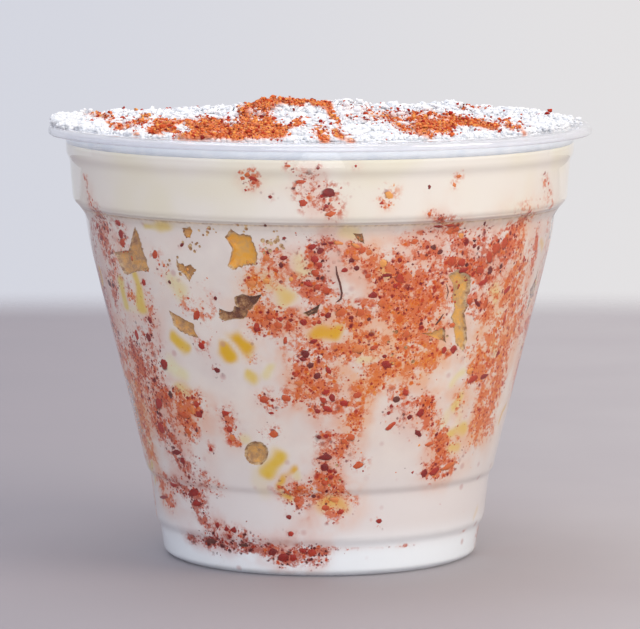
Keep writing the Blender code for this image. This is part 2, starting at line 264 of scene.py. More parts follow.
def wall_radius(height):
    """The radius of the plastic's outside at a height, both in metres."""
    return np.interp(height, wall_heights, wall_radii)


def sight_line(across, down):
    """The direction from the camera through a pixel of the picture."""
    x, y = (across - PICTURE[0] / 2) / FOCAL_PIXELS, (PICTURE[1] / 2 - down) / FOCAL_PIXELS
    dip = CAMERA_DIP
    return Vector((x, math.cos(dip) + y * math.sin(dip), y * math.cos(dip) - math.sin(dip))).normalized()


def seen_on_wall(across, down):
    """The place on the cup's wall that a pixel of the picture shows."""
    line = np.array(sight_line(across, down))
    reaches = np.arange(NEAREST, FURTHEST, 0.04 * MM)
    points = np.array(CAMERA_PLACE) + line * reaches[:, None]
    met = np.hypot(points[:, 0], points[:, 1]) <= wall_radius(points[:, 2])
    return Vector(points[np.argmax(met)])


def on_wall(angle, height, sunk=0.0):
    """The place at an angle round the cup from the front, in radians, and a height, in metres."""
    radius = wall_radius(height) - sunk * MM
    return Vector((radius * math.sin(angle), -radius * math.cos(angle), height))


def round_and_up(point):
    """A place on the wall as an angle from the front and a height."""
    return math.atan2(point.x, -point.y), point.z


def against_wall(point, spin, sunk=0.0, tip=0.0):
    """A stand on the wall: Z out of it, X along it, turned by a spin and tipped about its own Y."""
    angle, height = round_and_up(point)
    slope = math.atan2(wall_radius(height + MM) - wall_radius(height - MM), 2 * MM)
    stand = Matrix.Rotation(angle, 4, "Z") @ Matrix.Rotation(math.pi / 2 + slope, 4, "X")
    turn = Matrix.Rotation(spin, 4, "Z") @ Matrix.Rotation(tip, 4, "Y")
    return Matrix.Translation(on_wall(angle, height, sunk)) @ stand @ turn


def inset(outline, distance):
    """An outline moved square to itself into the cup."""
    runs = [(b - a).normalized() for a, b in zip(outline, outline[1:])]
    sides = [Vector((-run.y, run.x)) for run in runs]
    moved = []
    for i, point in enumerate(outline):
        before, after = sides[max(i - 1, 0)], sides[min(i, len(sides) - 1)]
        moved.append(point + (before + after) * distance / (1 + before.dot(after)))
    return moved


def respaced(outline, spacing):
    """An outline with points added along its long runs."""
    made = [outline[0]]
    for a, b in zip(outline, outline[1:]):
        parts = max(1, round((b - a).length / spacing))
        made += [a.lerp(b, k / parts) for k in range(1, parts + 1)]
    return made


# Air pockets seen at the front: their corners by pixel, how far their sides bulge in, their depth in mm and
# their tone, from 0, dark and wet, partly painted shade where the kernel behind lies deep, to 1, a golden
# kernel close behind.
FRONT_POCKETS = (
    (
        ((134, 226), (138, 234), (141, 245), (145, 257), (148, 272), (141, 271), (134, 272), (127, 275),
         (123, 273), (118, 262), (113, 252), (120, 251), (128, 250), (131, 238)),
        0.02, 1.0, 0.56,
    ),
    (
        ((175, 257), (178, 263), (184, 266), (190, 264), (196, 270), (192, 275), (189, 282), (183, 274),
         (177, 270)),
        0.03, 0.8, 0.5,
    ),
    (
        ((224, 237), (230, 228), (238, 234), (250, 235), (254, 244), (257, 253), (256, 265), (245, 266),
         (232, 270), (227, 266), (230, 257), (231, 247)),
        0.03, 1.0, 1.0,
    ),
    (
        ((234, 297), (242, 294), (252, 296), (262, 294), (256, 303), (251, 309), (246, 313), (236, 312)),
        0.0, 0.9, 0.0,
    ),
    (((234, 306), (248, 307), (247, 315), (243, 319), (230, 319)), 0.0, 0.8, 0.1),
    (((218, 308), (225, 311), (236, 312), (233, 319), (224, 321), (219, 318)), 0.0, 0.8, 0.25),
    (
        ((168, 310), (173, 313), (182, 318), (193, 324), (194, 331), (198, 338), (189, 336), (179, 331),
         (173, 325), (171, 317)),
        0.02, 0.9, 0.6,
    ),
    (((181, 228), (189, 226), (192, 231), (190, 238), (185, 238)), 0.04, 0.8, 0.85),
    (((449, 275), (459, 269), (472, 276), (470, 294), (455, 293), (453, 283)), 0.0, 0.5, 0.8),
    (((455, 286), (469, 285), (468, 298), (465, 309), (455, 307), (453, 296)), 0.0, 0.5, 0.75),
    (((454, 299), (466, 299), (469, 306), (465, 313), (468, 331), (455, 330)), 0.0, 0.5, 0.8),
    (((454, 321), (466, 322), (468, 338), (464, 352), (456, 343)), 0.0, 0.5, 0.8),
    (((423, 333), (436, 331), (446, 326), (447, 343), (435, 338)), 0.05, 0.7, 0.6),
    (((303, 313), (312, 309), (321, 303), (317, 313), (308, 317)), 0.03, 1.0, 0.1),
    (((353, 233), (363, 233), (365, 244), (358, 241)), 0.05, 0.9, 0.45),
    (
        ((246, 446), (255, 441), (265, 445), (268, 453), (264, 462), (255, 465), (247, 461), (244, 453)),
        -0.08, 0.6, 0.5,
    ),
)
BACK_POCKETS = 22
# Small bubbles between the cream and the plastic: the middle of each patch of them by pixel, how far the
# patch spreads in pixels, and how many.
BUBBLES = (
    ((272, 242), 9, 16),
    ((192, 246), 7, 9),
    ((205, 233), 8, 9),
    ((243, 224), 10, 6),
    ((440, 335), 8, 6),
    ((176, 265), 12, 5),
    ((390, 345), 22, 8),
    ((330, 480), 10, 5),
)


def back_angle(start, k, chance, count):
    """The angle of one of so many things round the back, which begins at a start in degrees on each side."""
    return math.radians(start + (k + chance) * (360 - 2 * start) / count)


def bubble_outlines():
    """The outlines of the small round bubbles."""
    draw = random.Random(17)
    for (across, down), spread, count in BUBBLES:
        for _ in range(count):
            spot = seen_on_wall(across + draw.gauss(0, 0.6) * spread, down + draw.gauss(0, 0.6) * spread)
            angle, height = round_and_up(spot)
            size, radius = draw.uniform(0.16, 0.42) * MM, wall_radius(height)
            turns = [math.tau * k / 10 for k in range(10)]
            yield [on_wall(angle + size * math.cos(t) / radius, height + size * math.sin(t)) for t in turns]


def pocket_outlines():
    """Each air pocket's outline on the wall, its depth in mm and its tone."""
    for corners, bulge, depth, tone in FRONT_POCKETS:
        yield [seen_on_wall(*corner) for corner in eased(corners, bulge)], depth, tone
    for outline in bubble_outlines():
        yield outline, 0.12, 0.8
    draw = random.Random(21)
    for k in range(BACK_POCKETS):
        angle = back_angle(72, k, draw.uniform(0, 1), BACK_POCKETS)
        height = draw.uniform(20, 57) * MM
        corners, size = draw.choice((3, 4, 4, 5)), draw.uniform(1.6, 3.6)
        spin, stretch = draw.uniform(0, math.tau), draw.uniform(1.0, 1.9)
        flat = []
        for c in range(corners):
            turn = spin + math.tau * (c + draw.uniform(-0.2, 0.2)) / corners
            reach = size * draw.uniform(0.75, 1.25)
            flat.append((reach * math.cos(turn), stretch * reach * math.sin(turn)))
        radius = wall_radius(height)
        sides = eased(flat, draw.uniform(0.05, 0.16))
        outline = [on_wall(angle + x * MM / radius, height + y * MM) for x, y in sides]
        yield outline, draw.uniform(0.9, 2.0), draw.random()


def eased(corners, bulge, steps=7):
    """A closed uneven outline through the corners, whose sides bulge inwards by a share of their length."""
    middle = sum((Vector(corner) for corner in corners), Vector((0, 0))) / len(corners)
    made = []
    for a, b in zip(corners, corners[1:] + corners[:1]):
        a, b = Vector(a), Vector(b)
        inward = (middle - (a + b) / 2).normalized() * (b - a).length
        for k in range(steps):
            t = k / steps
            ragged = noise.noise(Vector((0.31 * a.x + 0.7, 0.37 * b.y, 7 * t)))
            ragged *= math.sqrt(math.sin(math.pi * t))
            made.append(a.lerp(b, t) + inward * (bulge * 4 * t * (1 - t) + 0.2 * ragged))
    return made


def pocket_cutter(outline, depth):
    """A cutter for one air pocket: its outline taken through the wall and drawn in to a rounded floor."""
    middle = sum(outline, Vector()) / len(outline)
    outward = Vector((middle.x, middle.y, 0)).normalized()
    middle += outward * MM
    bm = bmesh.new()
    end = bm.faces.new([bm.verts.new(point + outward * MM) for point in outline])
    for further, share in ((1.35, 1.0), (0.35 * depth, 0.9), (0.45 * depth, 0.8), (0.2 * depth, 0.56)):
        end = bmesh.ops.extrude_discrete_faces(bm, faces=[end])["faces"][0]
        corners = end.verts[:]
        bmesh.ops.scale(bm, vec=(share, share, share), space=Matrix.Translation(-middle), verts=corners)
        bmesh.ops.translate(bm, vec=-outward * further * MM, verts=corners)
        middle -= outward * further * MM
    bmesh.ops.holes_fill(bm, edges=bm.edges, sides=0)
    bmesh.ops.triangulate(bm, faces=bm.faces)
    bmesh.ops.recalc_face_normals(bm, faces=bm.faces)
    mesh = bpy.data.meshes.new("pocket")
    bm.to_mesh(mesh)
    bm.free()
    return mesh


def cut_pockets(mesh):
    """Cuts every air pocket from the filling."""
    body = bpy.data.objects.new("body", mesh)
    cutters = bpy.data.collections.new("cutters")
    bpy.context.scene.collection.objects.link(body)
    bpy.context.scene.collection.children.link(cutters)
    for outline, depth, _ in pocket_outlines():
        cutters.objects.link(bpy.data.objects.new("pocket", pocket_cutter(outline, depth)))
    cut = body.modifiers.new("cut", "BOOLEAN")
    cut.operation = "DIFFERENCE"
    cut.operand_type = "COLLECTION"
    cut.collection = cutters
    cut.solver = "MANIFOLD"
    made = bpy.data.meshes.new_from_object(body.evaluated_get(bpy.context.evaluated_depsgraph_get()))
    for old in [body, *cutters.objects]:
        bpy.data.objects.remove(old)
    bpy.data.collections.remove(cutters)
    return made


# Kernels that come close to the wall at the front: pixel, turn in the wall's plane in degrees, tip from
# lying flat at 0 to end on at 1, and the depth of cream over them in mm.
KERNEL = (4.6, 3.9, 2.5)  # half a kernel's length, width and thickness, in mm
FRONT_KERNELS = (
    (124, 296, 84, 0.8, 0.5),
    (180, 343, -45, 0.85, 0.5),
    (227, 352, 60, 0.9, 0.4),
    (243, 344, 65, 0.8, 0.5),
    (283, 296, 30, 0.5, 0.5),
    (323, 336, -5, 0.62, 0.5),
    (271, 466, 62, 0.7, 0.5),
    (283, 484, 75, 0.7, 0.5),
    (458, 400, 86, 0.8, 0.5),
    (255, 453, 0, 0.95, 0.75),
    (240, 250, 70, 0.1, 0.75),
    (132, 262, 80, 0.1, 0.7),
    (184, 325, -40, 0.1, 0.7),
    (462, 320, 85, 0.1, 0.6),
)
BACK_KERNELS = 96


def kernel_stands():
    """The stand of each kernel near the wall, with its thickness axis pointing out of the wall."""
    draw = random.Random(5)
    for across, down, turn, tip, cover in FRONT_KERNELS:
        spot = seen_on_wall(across, down)
        yield kernel_stand(spot, math.radians(turn), tip * math.pi / 2, cover)
    for k in range(BACK_KERNELS):
        angle = back_angle(68, k, draw.random(), BACK_KERNELS)
        spot = on_wall(angle, draw.uniform(18, 57) * MM)
        yield kernel_stand(spot, draw.uniform(0, math.tau), draw.uniform(0, 0.85) * math.pi / 2, 0.5)


def kernel_stand(spot, turn, tip, cover):
    """One kernel's stand: turned and tipped at a spot, and sunk until it has the cream over it."""
    reach = math.hypot(KERNEL[2] * math.cos(tip), KERNEL[0] * math.sin(tip))
    return against_wall(spot, turn, SUNK + cover + reach, tip)


# Where a kernel shows through a thin skin of cream at the front: the line along its middle by pixel, half
# its width in pixels, how clearly it shows, and its tone, from 0, pale, to 1, golden.
FRONT_PATCHES = (
    (((120, 283), (123, 295), (125, 306)), 8, 0.95, 0.35),
    (((135, 278), (139, 292), (141, 307)), 8.5, 0.95, 0.42),
    (((124, 309), (140, 310)), 4.6, 0.5, 0.1),
    (((172, 280), (180, 292)), 12, 0.6, 0.25),
    (((176, 339), (184, 347)), 7.4, 1.0, 0.6),
    (((170, 366), (183, 376)), 11.3, 0.7, 0.1),
    (((178, 390), (186, 395)), 9, 0.75, 0.3),
    (((224, 349), (230, 356)), 8.8, 1.0, 0.75),
    (((237, 338), (246, 348)), 9.5, 1.0, 0.8),
    (((247, 374), (254, 377)), 6.7, 0.8, 0.45),
    (((267, 375), (272, 369)), 6.7, 0.65, 0.2),
    (((282, 294), (285, 298)), 12, 0.7, 0.55),
    (((298, 262), (302, 272)), 11.3, 0.65, 0.25),
    (((316, 334), (334, 331)), 9.5, 1.0, 0.85),
    (((145, 226), (172, 226)), 5.3, 0.7, 0.4),
    (((242, 441), (249, 440)), 6, 0.55, 0.25),
    (((265, 473), (272, 465), (278, 457)), 10, 0.95, 0.55),
    (((292, 471), (283, 476), (280, 486), (284, 495), (292, 498)), 5.5, 1.0, 0.8),
    (((293, 472), (297, 481)), 5.3, 0.6, 0.3),
    (((326, 503), (340, 506)), 10.6, 0.75, 0.85),
    (((258, 474), (262, 492)), 12, 0.35, 0.4),
    (((453, 383), (462, 373)), 6.7, 0.65, 0.2),
    (((457, 407), (462, 396)), 7.4, 0.8, 0.35),
    (((442, 424), (448, 414)), 6.7, 0.5, 0.2),
    (((452, 432), (463, 429)), 8.3, 0.8, 0.5),
    (((449, 450), (458, 446)), 7.4, 0.7, 0.5),
    (((463, 404), (459, 430)), 7.4, 0.4, 0.2),
    (((363, 360), (374, 357)), 7.4, 0.6, 0.25),
    (((333, 374), (337, 384)), 9, 0.4, 0.2),
    (((400, 352), (424, 353)), 10.6, 0.3, 1.0),
    (((494, 288), (498, 298)), 9, 0.65, 0.5),
    (((494, 340), (497, 353)), 9, 0.5, 0.45),
    (((384, 268), (386, 276)), 7.4, 0.7, 0.9),
    (((268, 280), (270, 284)), 9, 0.6, 0.8),
    (((345, 232), (356, 236)), 9, 0.55, 0.5),
    (((500, 312), (498, 326)), 9, 0.4, 0.3),
)
BACK_PATCHES = 110


def kernel_patches():
    """Where each kernel shows through: its line on the wall, half width in metres, clearness and tone."""
    for line, half, clearness, tone in FRONT_PATCHES:
        yield [seen_on_wall(*point) for point in line], half / PIXELS_PER_MM * MM, clearness, tone
    draw = random.Random(23)
    for k in range(BACK_PATCHES):
        angle, height = back_angle(68, k, draw.random(), BACK_PATCHES), draw.uniform(8, 57)
        lean, line = draw.uniform(0, math.tau), []
        for step in range(draw.choice((2, 2, 3))):
            line.append(on_wall(angle, height * MM))
            angle += 0.05 * math.cos(lean)
            height += 1.8 * math.sin(lean)
            lean += draw.uniform(-0.9, 0.9)
        yield line, draw.uniform(0.6, 1.3) * MM, draw.uniform(0.35, 1.0), draw.uniform(0, 1)


def away_from(points, start, end):
    """How far points lie from the line between two of them."""
    run = end - start
    share = np.clip((points - start) @ run / (run @ run), 0, 1)
    return np.linalg.norm(points - start - share[:, None] * run, axis=1)


def wander_at(points, per_metre, reach):
    """A smooth uneven push for each point, up to a reach in metres."""
    starts = Vector((0.3, 5.1, 2.7)), Vector((7.9, 1.3, 8.5)), Vector((4.6, 9.2, 0.8))
    pushes = [[noise.noise(Vector(spot) * per_metre + start) for start in starts] for spot in points]
    return np.array(pushes) * reach


def kernels_through(points):
    """How clearly a kernel shows through the cream at each point, and its tone."""
    wander = wander_at(points, 330, 0.9 * MM)
    veil, tone = np.zeros(len(points)), np.full(len(points), 0.5)
    for line, half, clearness, own in kernel_patches():
        for a, b in zip(line, line[1:]):
            a, b = np.array(a), np.array(b)
            reach = np.linalg.norm(b - a) / 2 + 2.2 * half
            near = np.flatnonzero(((points - (a + b) / 2) ** 2).sum(1) < reach**2)
            found = clearness * np.exp(-((away_from(points[near] + wander[near], a, b) / half) ** 2.6))
            tone[near] = np.where(found > veil[near], own, tone[near])
            veil[near] = np.maximum(veil[near], found)
    return veil, tone


# Chile stirred through the cream at the front: points by pixel along each streak, its half width in pixels,
# how dense it is, and its tone, from 0, dark red, to 1, orange.
FRONT_STREAKS = (
    (((406, 288), (416, 318), (412, 354)), 18, 1.0, 0.62),
    (((428, 284), (434, 312)), 15, 1.0, 0.5),
    (((358, 262), (374, 264), (388, 280), (400, 300)), 8, 0.55, 0.7),
    (((450, 262), (474, 272), (512, 242)), 8, 0.95, 0.35),
    (((520, 225), (508, 300), (498, 360), (487, 420)), 25, 0.52, 0.75),
    (((487, 296), (484, 322)), 13, 0.3, 0.7),
    (((548, 225), (530, 320), (510, 420), (496, 470)), 13, 0.3, 0.45),
    (((316, 248), (313, 292)), 9, 0.8, 0.35),
    (((306, 285), (328, 292)), 8, 0.7, 0.3),
    (((304, 352), (314, 374), (320, 388)), 13, 0.95, 0.6),
    (((270, 400), (300, 392), (322, 410)), 8, 0.38, 0.5),
    (((338, 322), (354, 338), (392, 350)), 12, 0.55, 0.8),
    (((338, 310), (350, 328)), 10, 0.35, 0.75),
    (((394, 362), (368, 386), (356, 416), (338, 456)), 7.5, 0.85, 0.75),
    (((328, 464), (327, 480), (333, 510)), 8.5, 0.95, 0.45),
    (((318, 492), (346, 500)), 10, 0.75, 0.85),
    (((410, 388), (430, 410), (443, 440), (437, 474)), 9, 0.8, 0.6),
    (((472, 374), (460, 400), (456, 436), (448, 468)), 8, 0.5, 0.7),
    (((498, 370), (490, 400), (478, 432)), 13, 0.8, 0.6),
    (((99, 222), (116, 300), (134, 350)), 12, 0.3, 0.25),
    (((132, 345), (150, 390), (160, 430)), 10, 0.75, 0.3),
    (((122, 352), (148, 450)), 17, 0.95, 1.0),
    (((182, 398), (190, 430)), 10, 0.75, 0.7),
    (((160, 474), (178, 486), (195, 500), (206, 522)), 7, 0.75, 0.15),
    (((206, 522), (240, 532), (262, 540)), 3.5, 0.3, 0.4),
    (((186, 537), (222, 543), (250, 546)), 5, 1.0, 0.05),
    (((268, 550), (292, 556), (319, 556)), 7, 1.0, 0.25),
    (((262, 316), (288, 326)), 13, 0.85, 0.75),
    (((243, 346), (250, 354)), 9, 0.5, 0.9),
    (((250, 284), (292, 280)), 8, 0.45, 0.85),
    (((224, 412), (234, 440)), 8, 0.4, 0.45),
    (((420, 233), (470, 232)), 2.0, 0.6, 0.4),
    (((448, 232), (464, 238)), 6, 0.65, 0.5),
    (((330, 548), (400, 546), (466, 530)), 2, 0.4, 0.3),
    (((84, 176), (92, 205)), 6, 0.45, 0.5),
    (((545, 180), (552, 205)), 8, 0.4, 0.45),
    (((92, 226), (104, 290), (124, 360), (144, 430)), 12, 0.42, 0.2),
    (((148, 350), (166, 420), (178, 452)), 12, 0.4, 0.2),
    (((138, 400), (152, 455)), 7, 0.6, 0.8),
    (((428, 244), (468, 250)), 11, 0.35, 0.22),
    (((268, 256), (262, 286)), 9, 0.3, 0.75),
    (((522, 232), (512, 330)), 12, 0.55, 0.8),
    (((505, 330), (480, 425)), 10, 0.6, 0.85),
    (((538, 228), (520, 330)), 7, 0.6, 0.2),
    (((158, 478), (172, 505)), 8, 0.5, 0.3),
    (((300, 340), (335, 344)), 8, 0.4, 0.6),
    (((352, 312), (366, 316)), 6, 0.4, 0.75),
    (((425, 262), (441, 292)), 13, 0.9, 0.6),
    (((484, 240), (500, 258)), 12, 0.8, 0.3),
    (((322, 308), (346, 318)), 11, 0.45, 0.75),
    (((296, 346), (340, 350)), 12, 0.6, 0.6),
    (((165, 402), (186, 420)), 12, 0.8, 0.3),
    (((298, 496), (306, 514)), 6, 0.5, 0.3),
    (((196, 470), (215, 486)), 10, 0.4, 0.5),
    (((100, 215), (112, 262)), 13, 0.6, 0.25),
    (((134, 348), (142, 372)), 9, 0.95, 0.0),
    (((452, 300), (520, 320)), 12, 0.3, 0.8),
    (((258, 300), (250, 268)), 9, 0.35, 0.95),
    (((196, 400), (192, 415)), 8, 0.6, 0.65),
    (((406, 268), (432, 278)), 13, 0.95, 0.6),
    (((404, 240), (432, 250)), 10, 0.35, 0.2),
    (((384, 384), (372, 372)), 9, 0.5, 0.9),
    (((396, 366), (428, 360)), 10, 0.85, 0.85),
    (((404, 352), (428, 354)), 11, 0.85, 0.9),
    (((398, 330), (430, 338)), 12, 0.2, 0.8),
    (((286, 480), (294, 502)), 8, 0.35, 0.6),
    (((162, 420), (186, 468)), 14, 0.4, 0.05),
    (((150, 300), (156, 340)), 9, 0.25, 0.1),
    (((126, 372), (136, 420)), 8, 0.8, 1.0),
    (((188, 396), (184, 412)), 9, 0.6, 0.9),
    (((312, 360), (318, 388)), 10, 0.7, 0.9),
    (((486, 350), (478, 372)), 11, 0.65, 0.85),
    (((384, 292), (392, 316)), 9, 0.6, 0.65),
    (((118, 350), (132, 400)), 7, 0.5, 0.8),
    (((118, 280), (142, 308)), 15, 0.4, 1.0),
    (((166, 280), (204, 306)), 20, 0.22, 0.95),
    (((402, 296), (430, 306)), 14, 0.8, 0.45),
    (((408, 268), (428, 266)), 9, 0.9, 0.45),
    (((468, 352), (492, 376)), 12, 0.45, 0.9),
    (((308, 350), (330, 380)), 13, 0.5, 0.9),
    (((114, 352), (136, 380)), 12, 0.6, 0.95),
    (((124, 384), (142, 412)), 10, 0.5, 1.0),
    (((404, 390), (424, 404)), 10, 0.4, 0.9),
    (((344, 390), (360, 404)), 10, 0.35, 0.7),
    (((406, 350), (428, 354)), 8, 0.9, 0.8),
    (((392, 368), (372, 386)), 6, 1.0, 0.9),
    (((284, 492), (298, 506)), 8, 0.6, 0.3),
    (((318, 486), (330, 504)), 10, 0.6, 0.3),
    (((124, 352), (136, 384)), 8, 0.6, 0.2),
    (((158, 482), (168, 500)), 9, 0.35, 0.8),
)
BACK_STREAKS = 34
FLAKE_HALO, FLAKE_OIL = 0.11, 0.3  # the spread of the oil round a flake, by its size, and how dense it is
# Flakes seen at the front: pixel, length and width in pixels, turn in degrees and tone as for the streaks.
FRONT_FLAKES = (
    (117, 222, 9, 5, 80, 0.3), (120, 233, 10, 5, 82, 0.25), (122, 243, 9, 6, 78, 0.5),
    (154, 255, 10, 5, -70, 0.4), (109, 283, 8, 4, -70, 0.05), (97, 226, 6, 4, 60, 0.3),
    (101, 237, 7, 4, 70, 0.25), (143, 283, 8, 4, -75, 0.35), (149, 320, 7, 5, -20, 0.1),
    (148, 337, 9, 6, -30, 0.12), (136, 335, 12, 4, -80, 0.3), (196, 315, 12, 6, -65, 0.4),
    (201, 346, 9, 6, 45, 0.3), (163, 363, 13, 7, -85, 0.18), (170, 394, 6, 6, 0, 0.0),
    (215, 298, 4, 4, 0, 0.1), (216, 370, 7, 5, 0, 0.08), (252, 283, 10, 6, 10, 0.8),
    (256, 326, 7, 7, 0, 0.3), (181, 245, 6, 3, -30, 0.05), (169, 282, 4, 3, 60, 0.1),
    (266, 258, 8, 7, 0, 0.7), (283, 258, 8, 5, -20, 0.2), (281, 265, 6, 5, 80, 0.0),
    (275, 270, 6, 4, 30, 0.5), (266, 281, 8, 6, 0, 0.85), (291, 279, 5, 5, 0, 0.8),
    (312, 247, 9, 6, -20, 0.22), (320, 251, 8, 6, -40, 0.15), (315, 259, 8, 8, 0, 0.3),
    (319, 265, 6, 6, 0, 0.3), (316, 273, 9, 7, 20, 0.42), (308, 284, 11, 5, 20, 0.3),
    (318, 287, 8, 6, 0, 0.4), (326, 290, 9, 8, 40, 0.4), (324, 244, 7, 3, 0, 0.12),
    (331, 243, 7, 3, 5, 0.1), (339, 243, 9, 4, 10, 0.75), (345, 270, 7, 5, 0, 0.3),
    (357, 246, 10, 4, 25, 0.75), (363, 250, 9, 6, -40, 0.65), (369, 253, 8, 6, -50, 0.6),
    (356, 258, 10, 5, 30, 0.55), (352, 260, 6, 6, 80, 0.05), (357, 268, 5, 6, 60, 0.08),
    (368, 276, 8, 5, -30, 0.4), (383, 263, 8, 8, 0, 0.9), (387, 275, 10, 4, 0, 0.12),
    (400, 260, 5, 5, 0, 0.12), (373, 295, 10, 7, 0, 0.12), (401, 279, 13, 8, 45, 0.28),
    (396, 286, 6, 5, 40, 0.3), (382, 303, 8, 8, 0, 0.6), (270, 317, 8, 6, 0, 0.42),
    (280, 319, 6, 5, 0, 0.3), (277, 325, 9, 7, 0, 0.65), (257, 329, 7, 6, 0, 0.12),
    (287, 327, 11, 3, -85, 0.4), (285, 340, 8, 4, -80, 0.35), (291, 320, 5, 4, 0, 0.15),
    (304, 322, 8, 7, 0, 0.28), (314, 323, 5, 5, 0, 0.3), (319, 322, 5, 5, 0, 0.35),
    (328, 315, 6, 7, 60, 0.15), (341, 313, 9, 12, 60, 0.6), (361, 313, 9, 8, 30, 0.5),
    (369, 319, 4, 4, 0, 0.08), (314, 341, 8, 5, -20, 0.15), (306, 354, 10, 8, 30, 0.2),
    (302, 359, 7, 5, 0, 0.22), (311, 365, 8, 6, -30, 0.15), (317, 376, 9, 7, -40, 0.12),
    (329, 371, 10, 5, 60, 0.35), (299, 383, 9, 6, 0, 0.6), (296, 375, 5, 5, 0, 0.4),
    (326, 392, 9, 5, -40, 0.35), (332, 397, 9, 6, 70, 0.3), (323, 400, 9, 6, 60, 0.35),
    (328, 409, 11, 6, 30, 0.3), (317, 411, 6, 5, 0, 0.25), (286, 398, 9, 7, 20, 0.5),
    (263, 400, 9, 8, -50, 0.5), (271, 413, 6, 3, 0, 0.25), (359, 349, 9, 11, 80, 0.62),
    (375, 347, 9, 5, -20, 0.35), (387, 364, 11, 8, 20, 0.2), (385, 356, 5, 4, 0, 0.2),
    (358, 395, 7, 9, 70, 0.45), (397, 399, 8, 7, 0, 0.08), (406, 392, 10, 5, 60, 0.22),
    (421, 412, 8, 8, 60, 0.12), (344, 403, 9, 7, 10, 0.28), (415, 242, 6, 8, 70, 0.5),
    (434, 247, 7, 5, 30, 0.0), (441, 252, 5, 6, 70, 0.08), (428, 247, 5, 4, 0, 0.2),
    (450, 232, 9, 6, 0, 0.6), (457, 229, 9, 5, 0, 0.42), (462, 236, 8, 5, 60, 0.75),
    (439, 226, 11, 3, 5, 0.12), (451, 225, 12, 3, 3, 0.3), (452, 261, 10, 8, 40, 0.35),
    (463, 262, 10, 7, -10, 0.35), (465, 270, 5, 8, 80, 0.3), (475, 246, 6, 4, -50, 0.1),
    (479, 248, 4, 4, 0, 0.05), (491, 270, 7, 6, 0, 0.05), (502, 266, 5, 4, 0, 0.18),
    (490, 256, 14, 6, 60, 0.36), (497, 248, 13, 8, 30, 0.38), (505, 243, 11, 8, 20, 0.36),
    (481, 270, 12, 6, 20, 0.36), (484, 282, 6, 9, 80, 0.33), (478, 303, 14, 3, 40, 0.12),
    (471, 301, 8, 6, 0, 0.5), (486, 303, 7, 8, 0, 0.5), (453, 325, 5, 6, 80, 0.5),
    (508, 289, 6, 7, 60, 0.35), (505, 320, 6, 6, 0, 0.45), (445, 350, 7, 7, 0, 0.33),
    (454, 349, 9, 7, 0, 0.33), (407, 334, 8, 8, 0, 0.6), (471, 371, 8, 7, 60, 0.75),
    (485, 376, 6, 8, 80, 0.03), (474, 379, 8, 10, 70, 0.35), (210, 449, 5, 5, 0, 0.25),
    (225, 413, 6, 8, 80, 0.35), (229, 429, 7, 7, 40, 0.45), (232, 437, 7, 6, -50, 0.7),
    (273, 434, 10, 8, -20, 0.5), (183, 415, 6, 11, -80, 0.6), (187, 431, 6, 7, -70, 0.6),
    (196, 404, 8, 6, 0, 0.35), (198, 414, 8, 6, 20, 0.35), (192, 409, 5, 8, 0, 0.6),
    (158, 402, 16, 6, -55, 0.3), (160, 427, 12, 7, -70, 0.25), (176, 452, 6, 9, 80, 0.15),
    (182, 460, 9, 5, -50, 0.15), (193, 493, 9, 11, 70, 0.2), (196, 503, 8, 9, 80, 0.2),
    (173, 485, 6, 8, 80, 0.25), (163, 497, 4, 9, 80, 0.3), (217, 525, 6, 5, 0, 0.2),
    (226, 529, 6, 5, 0, 0.2), (233, 530, 8, 6, 20, 0.2), (289, 517, 6, 5, 0, 0.3), (291, 534, 7, 6, 0, 0.3),
    (273, 552, 10, 8, -20, 0.15), (283, 557, 12, 9, -20, 0.15), (293, 558, 8, 8, 20, 0.25),
    (303, 551, 8, 5, 0, 0.25), (312, 553, 9, 9, 0, 0.35), (212, 541, 16, 6, -8, 0.05),
    (242, 545, 12, 4, -6, 0.05), (326, 457, 8, 13, 85, 0.2), (324, 467, 8, 9, 0, 0.1),
    (331, 477, 6, 5, 0, 0.25), (325, 483, 6, 6, 0, 0.4), (314, 496, 5, 5, 0, 0.05),
    (335, 500, 11, 6, 15, 0.85), (325, 508, 9, 7, 0, 0.4), (341, 512, 6, 7, 60, 0.4),
    (380, 521, 7, 5, 0, 0.25), (357, 466, 12, 6, -20, 0.5), (391, 426, 12, 5, -40, 0.45),
    (389, 413, 4, 4, 0, 0.1), (410, 417, 6, 5, 0, 0.1), (419, 433, 6, 9, -50, 0.1),
    (430, 444, 5, 9, 80, 0.5), (440, 437, 9, 6, 0, 0.6), (425, 473, 8, 8, 0, 0.25),
    (435, 471, 8, 10, 60, 0.28), (449, 466, 7, 13, 70, 0.6), (351, 437, 9, 8, 60, 0.6),
    (345, 442, 8, 6, 40, 0.5), (319, 437, 5, 4, 0, 0.1), (326, 436, 6, 5, 0, 0.25),
    (247, 174, 6, 5, 0, 0.6), (251, 178, 7, 5, 0, 0.35), (242, 178, 5, 5, 0, 0.55),
    (253, 183, 6, 4, 0, 0.5), (270, 197, 5, 4, 0, 0.2), (288, 166, 7, 3, 0, 0.5),
    (302, 182, 14, 5, 0, 0.42), (304, 203, 10, 8, 0, 0.42), (318, 168, 4, 4, 0, 0.25),
    (331, 192, 16, 10, -10, 0.22), (322, 196, 6, 5, 0, 0.3), (332, 214, 12, 6, -10, 0.4),
    (326, 206, 5, 5, 0, 0.3), (390, 195, 10, 8, 0, 1.0), (382, 203, 5, 4, 0, 0.4),
    (430, 187, 4, 5, 0, 0.02), (455, 185, 6, 4, 60, 0.7), (430, 214, 5, 4, 0, 0.6),
    (356, 166, 3, 3, 0, 0.3), (460, 176, 6, 4, 0, 0.7), (287, 492, 7, 4, 60, 0.5),
    (297, 500, 6, 6, 0, 0.45), (279, 487, 5, 4, 0, 0.6), (300, 488, 6, 5, 0, 0.55),
    (284, 238, 4, 3, 0, 0.1), (265, 225, 3, 3, 0, 0.1), (440, 219, 4, 3, 0, 0.3), (245, 190, 3, 3, 0, 0.3),
)


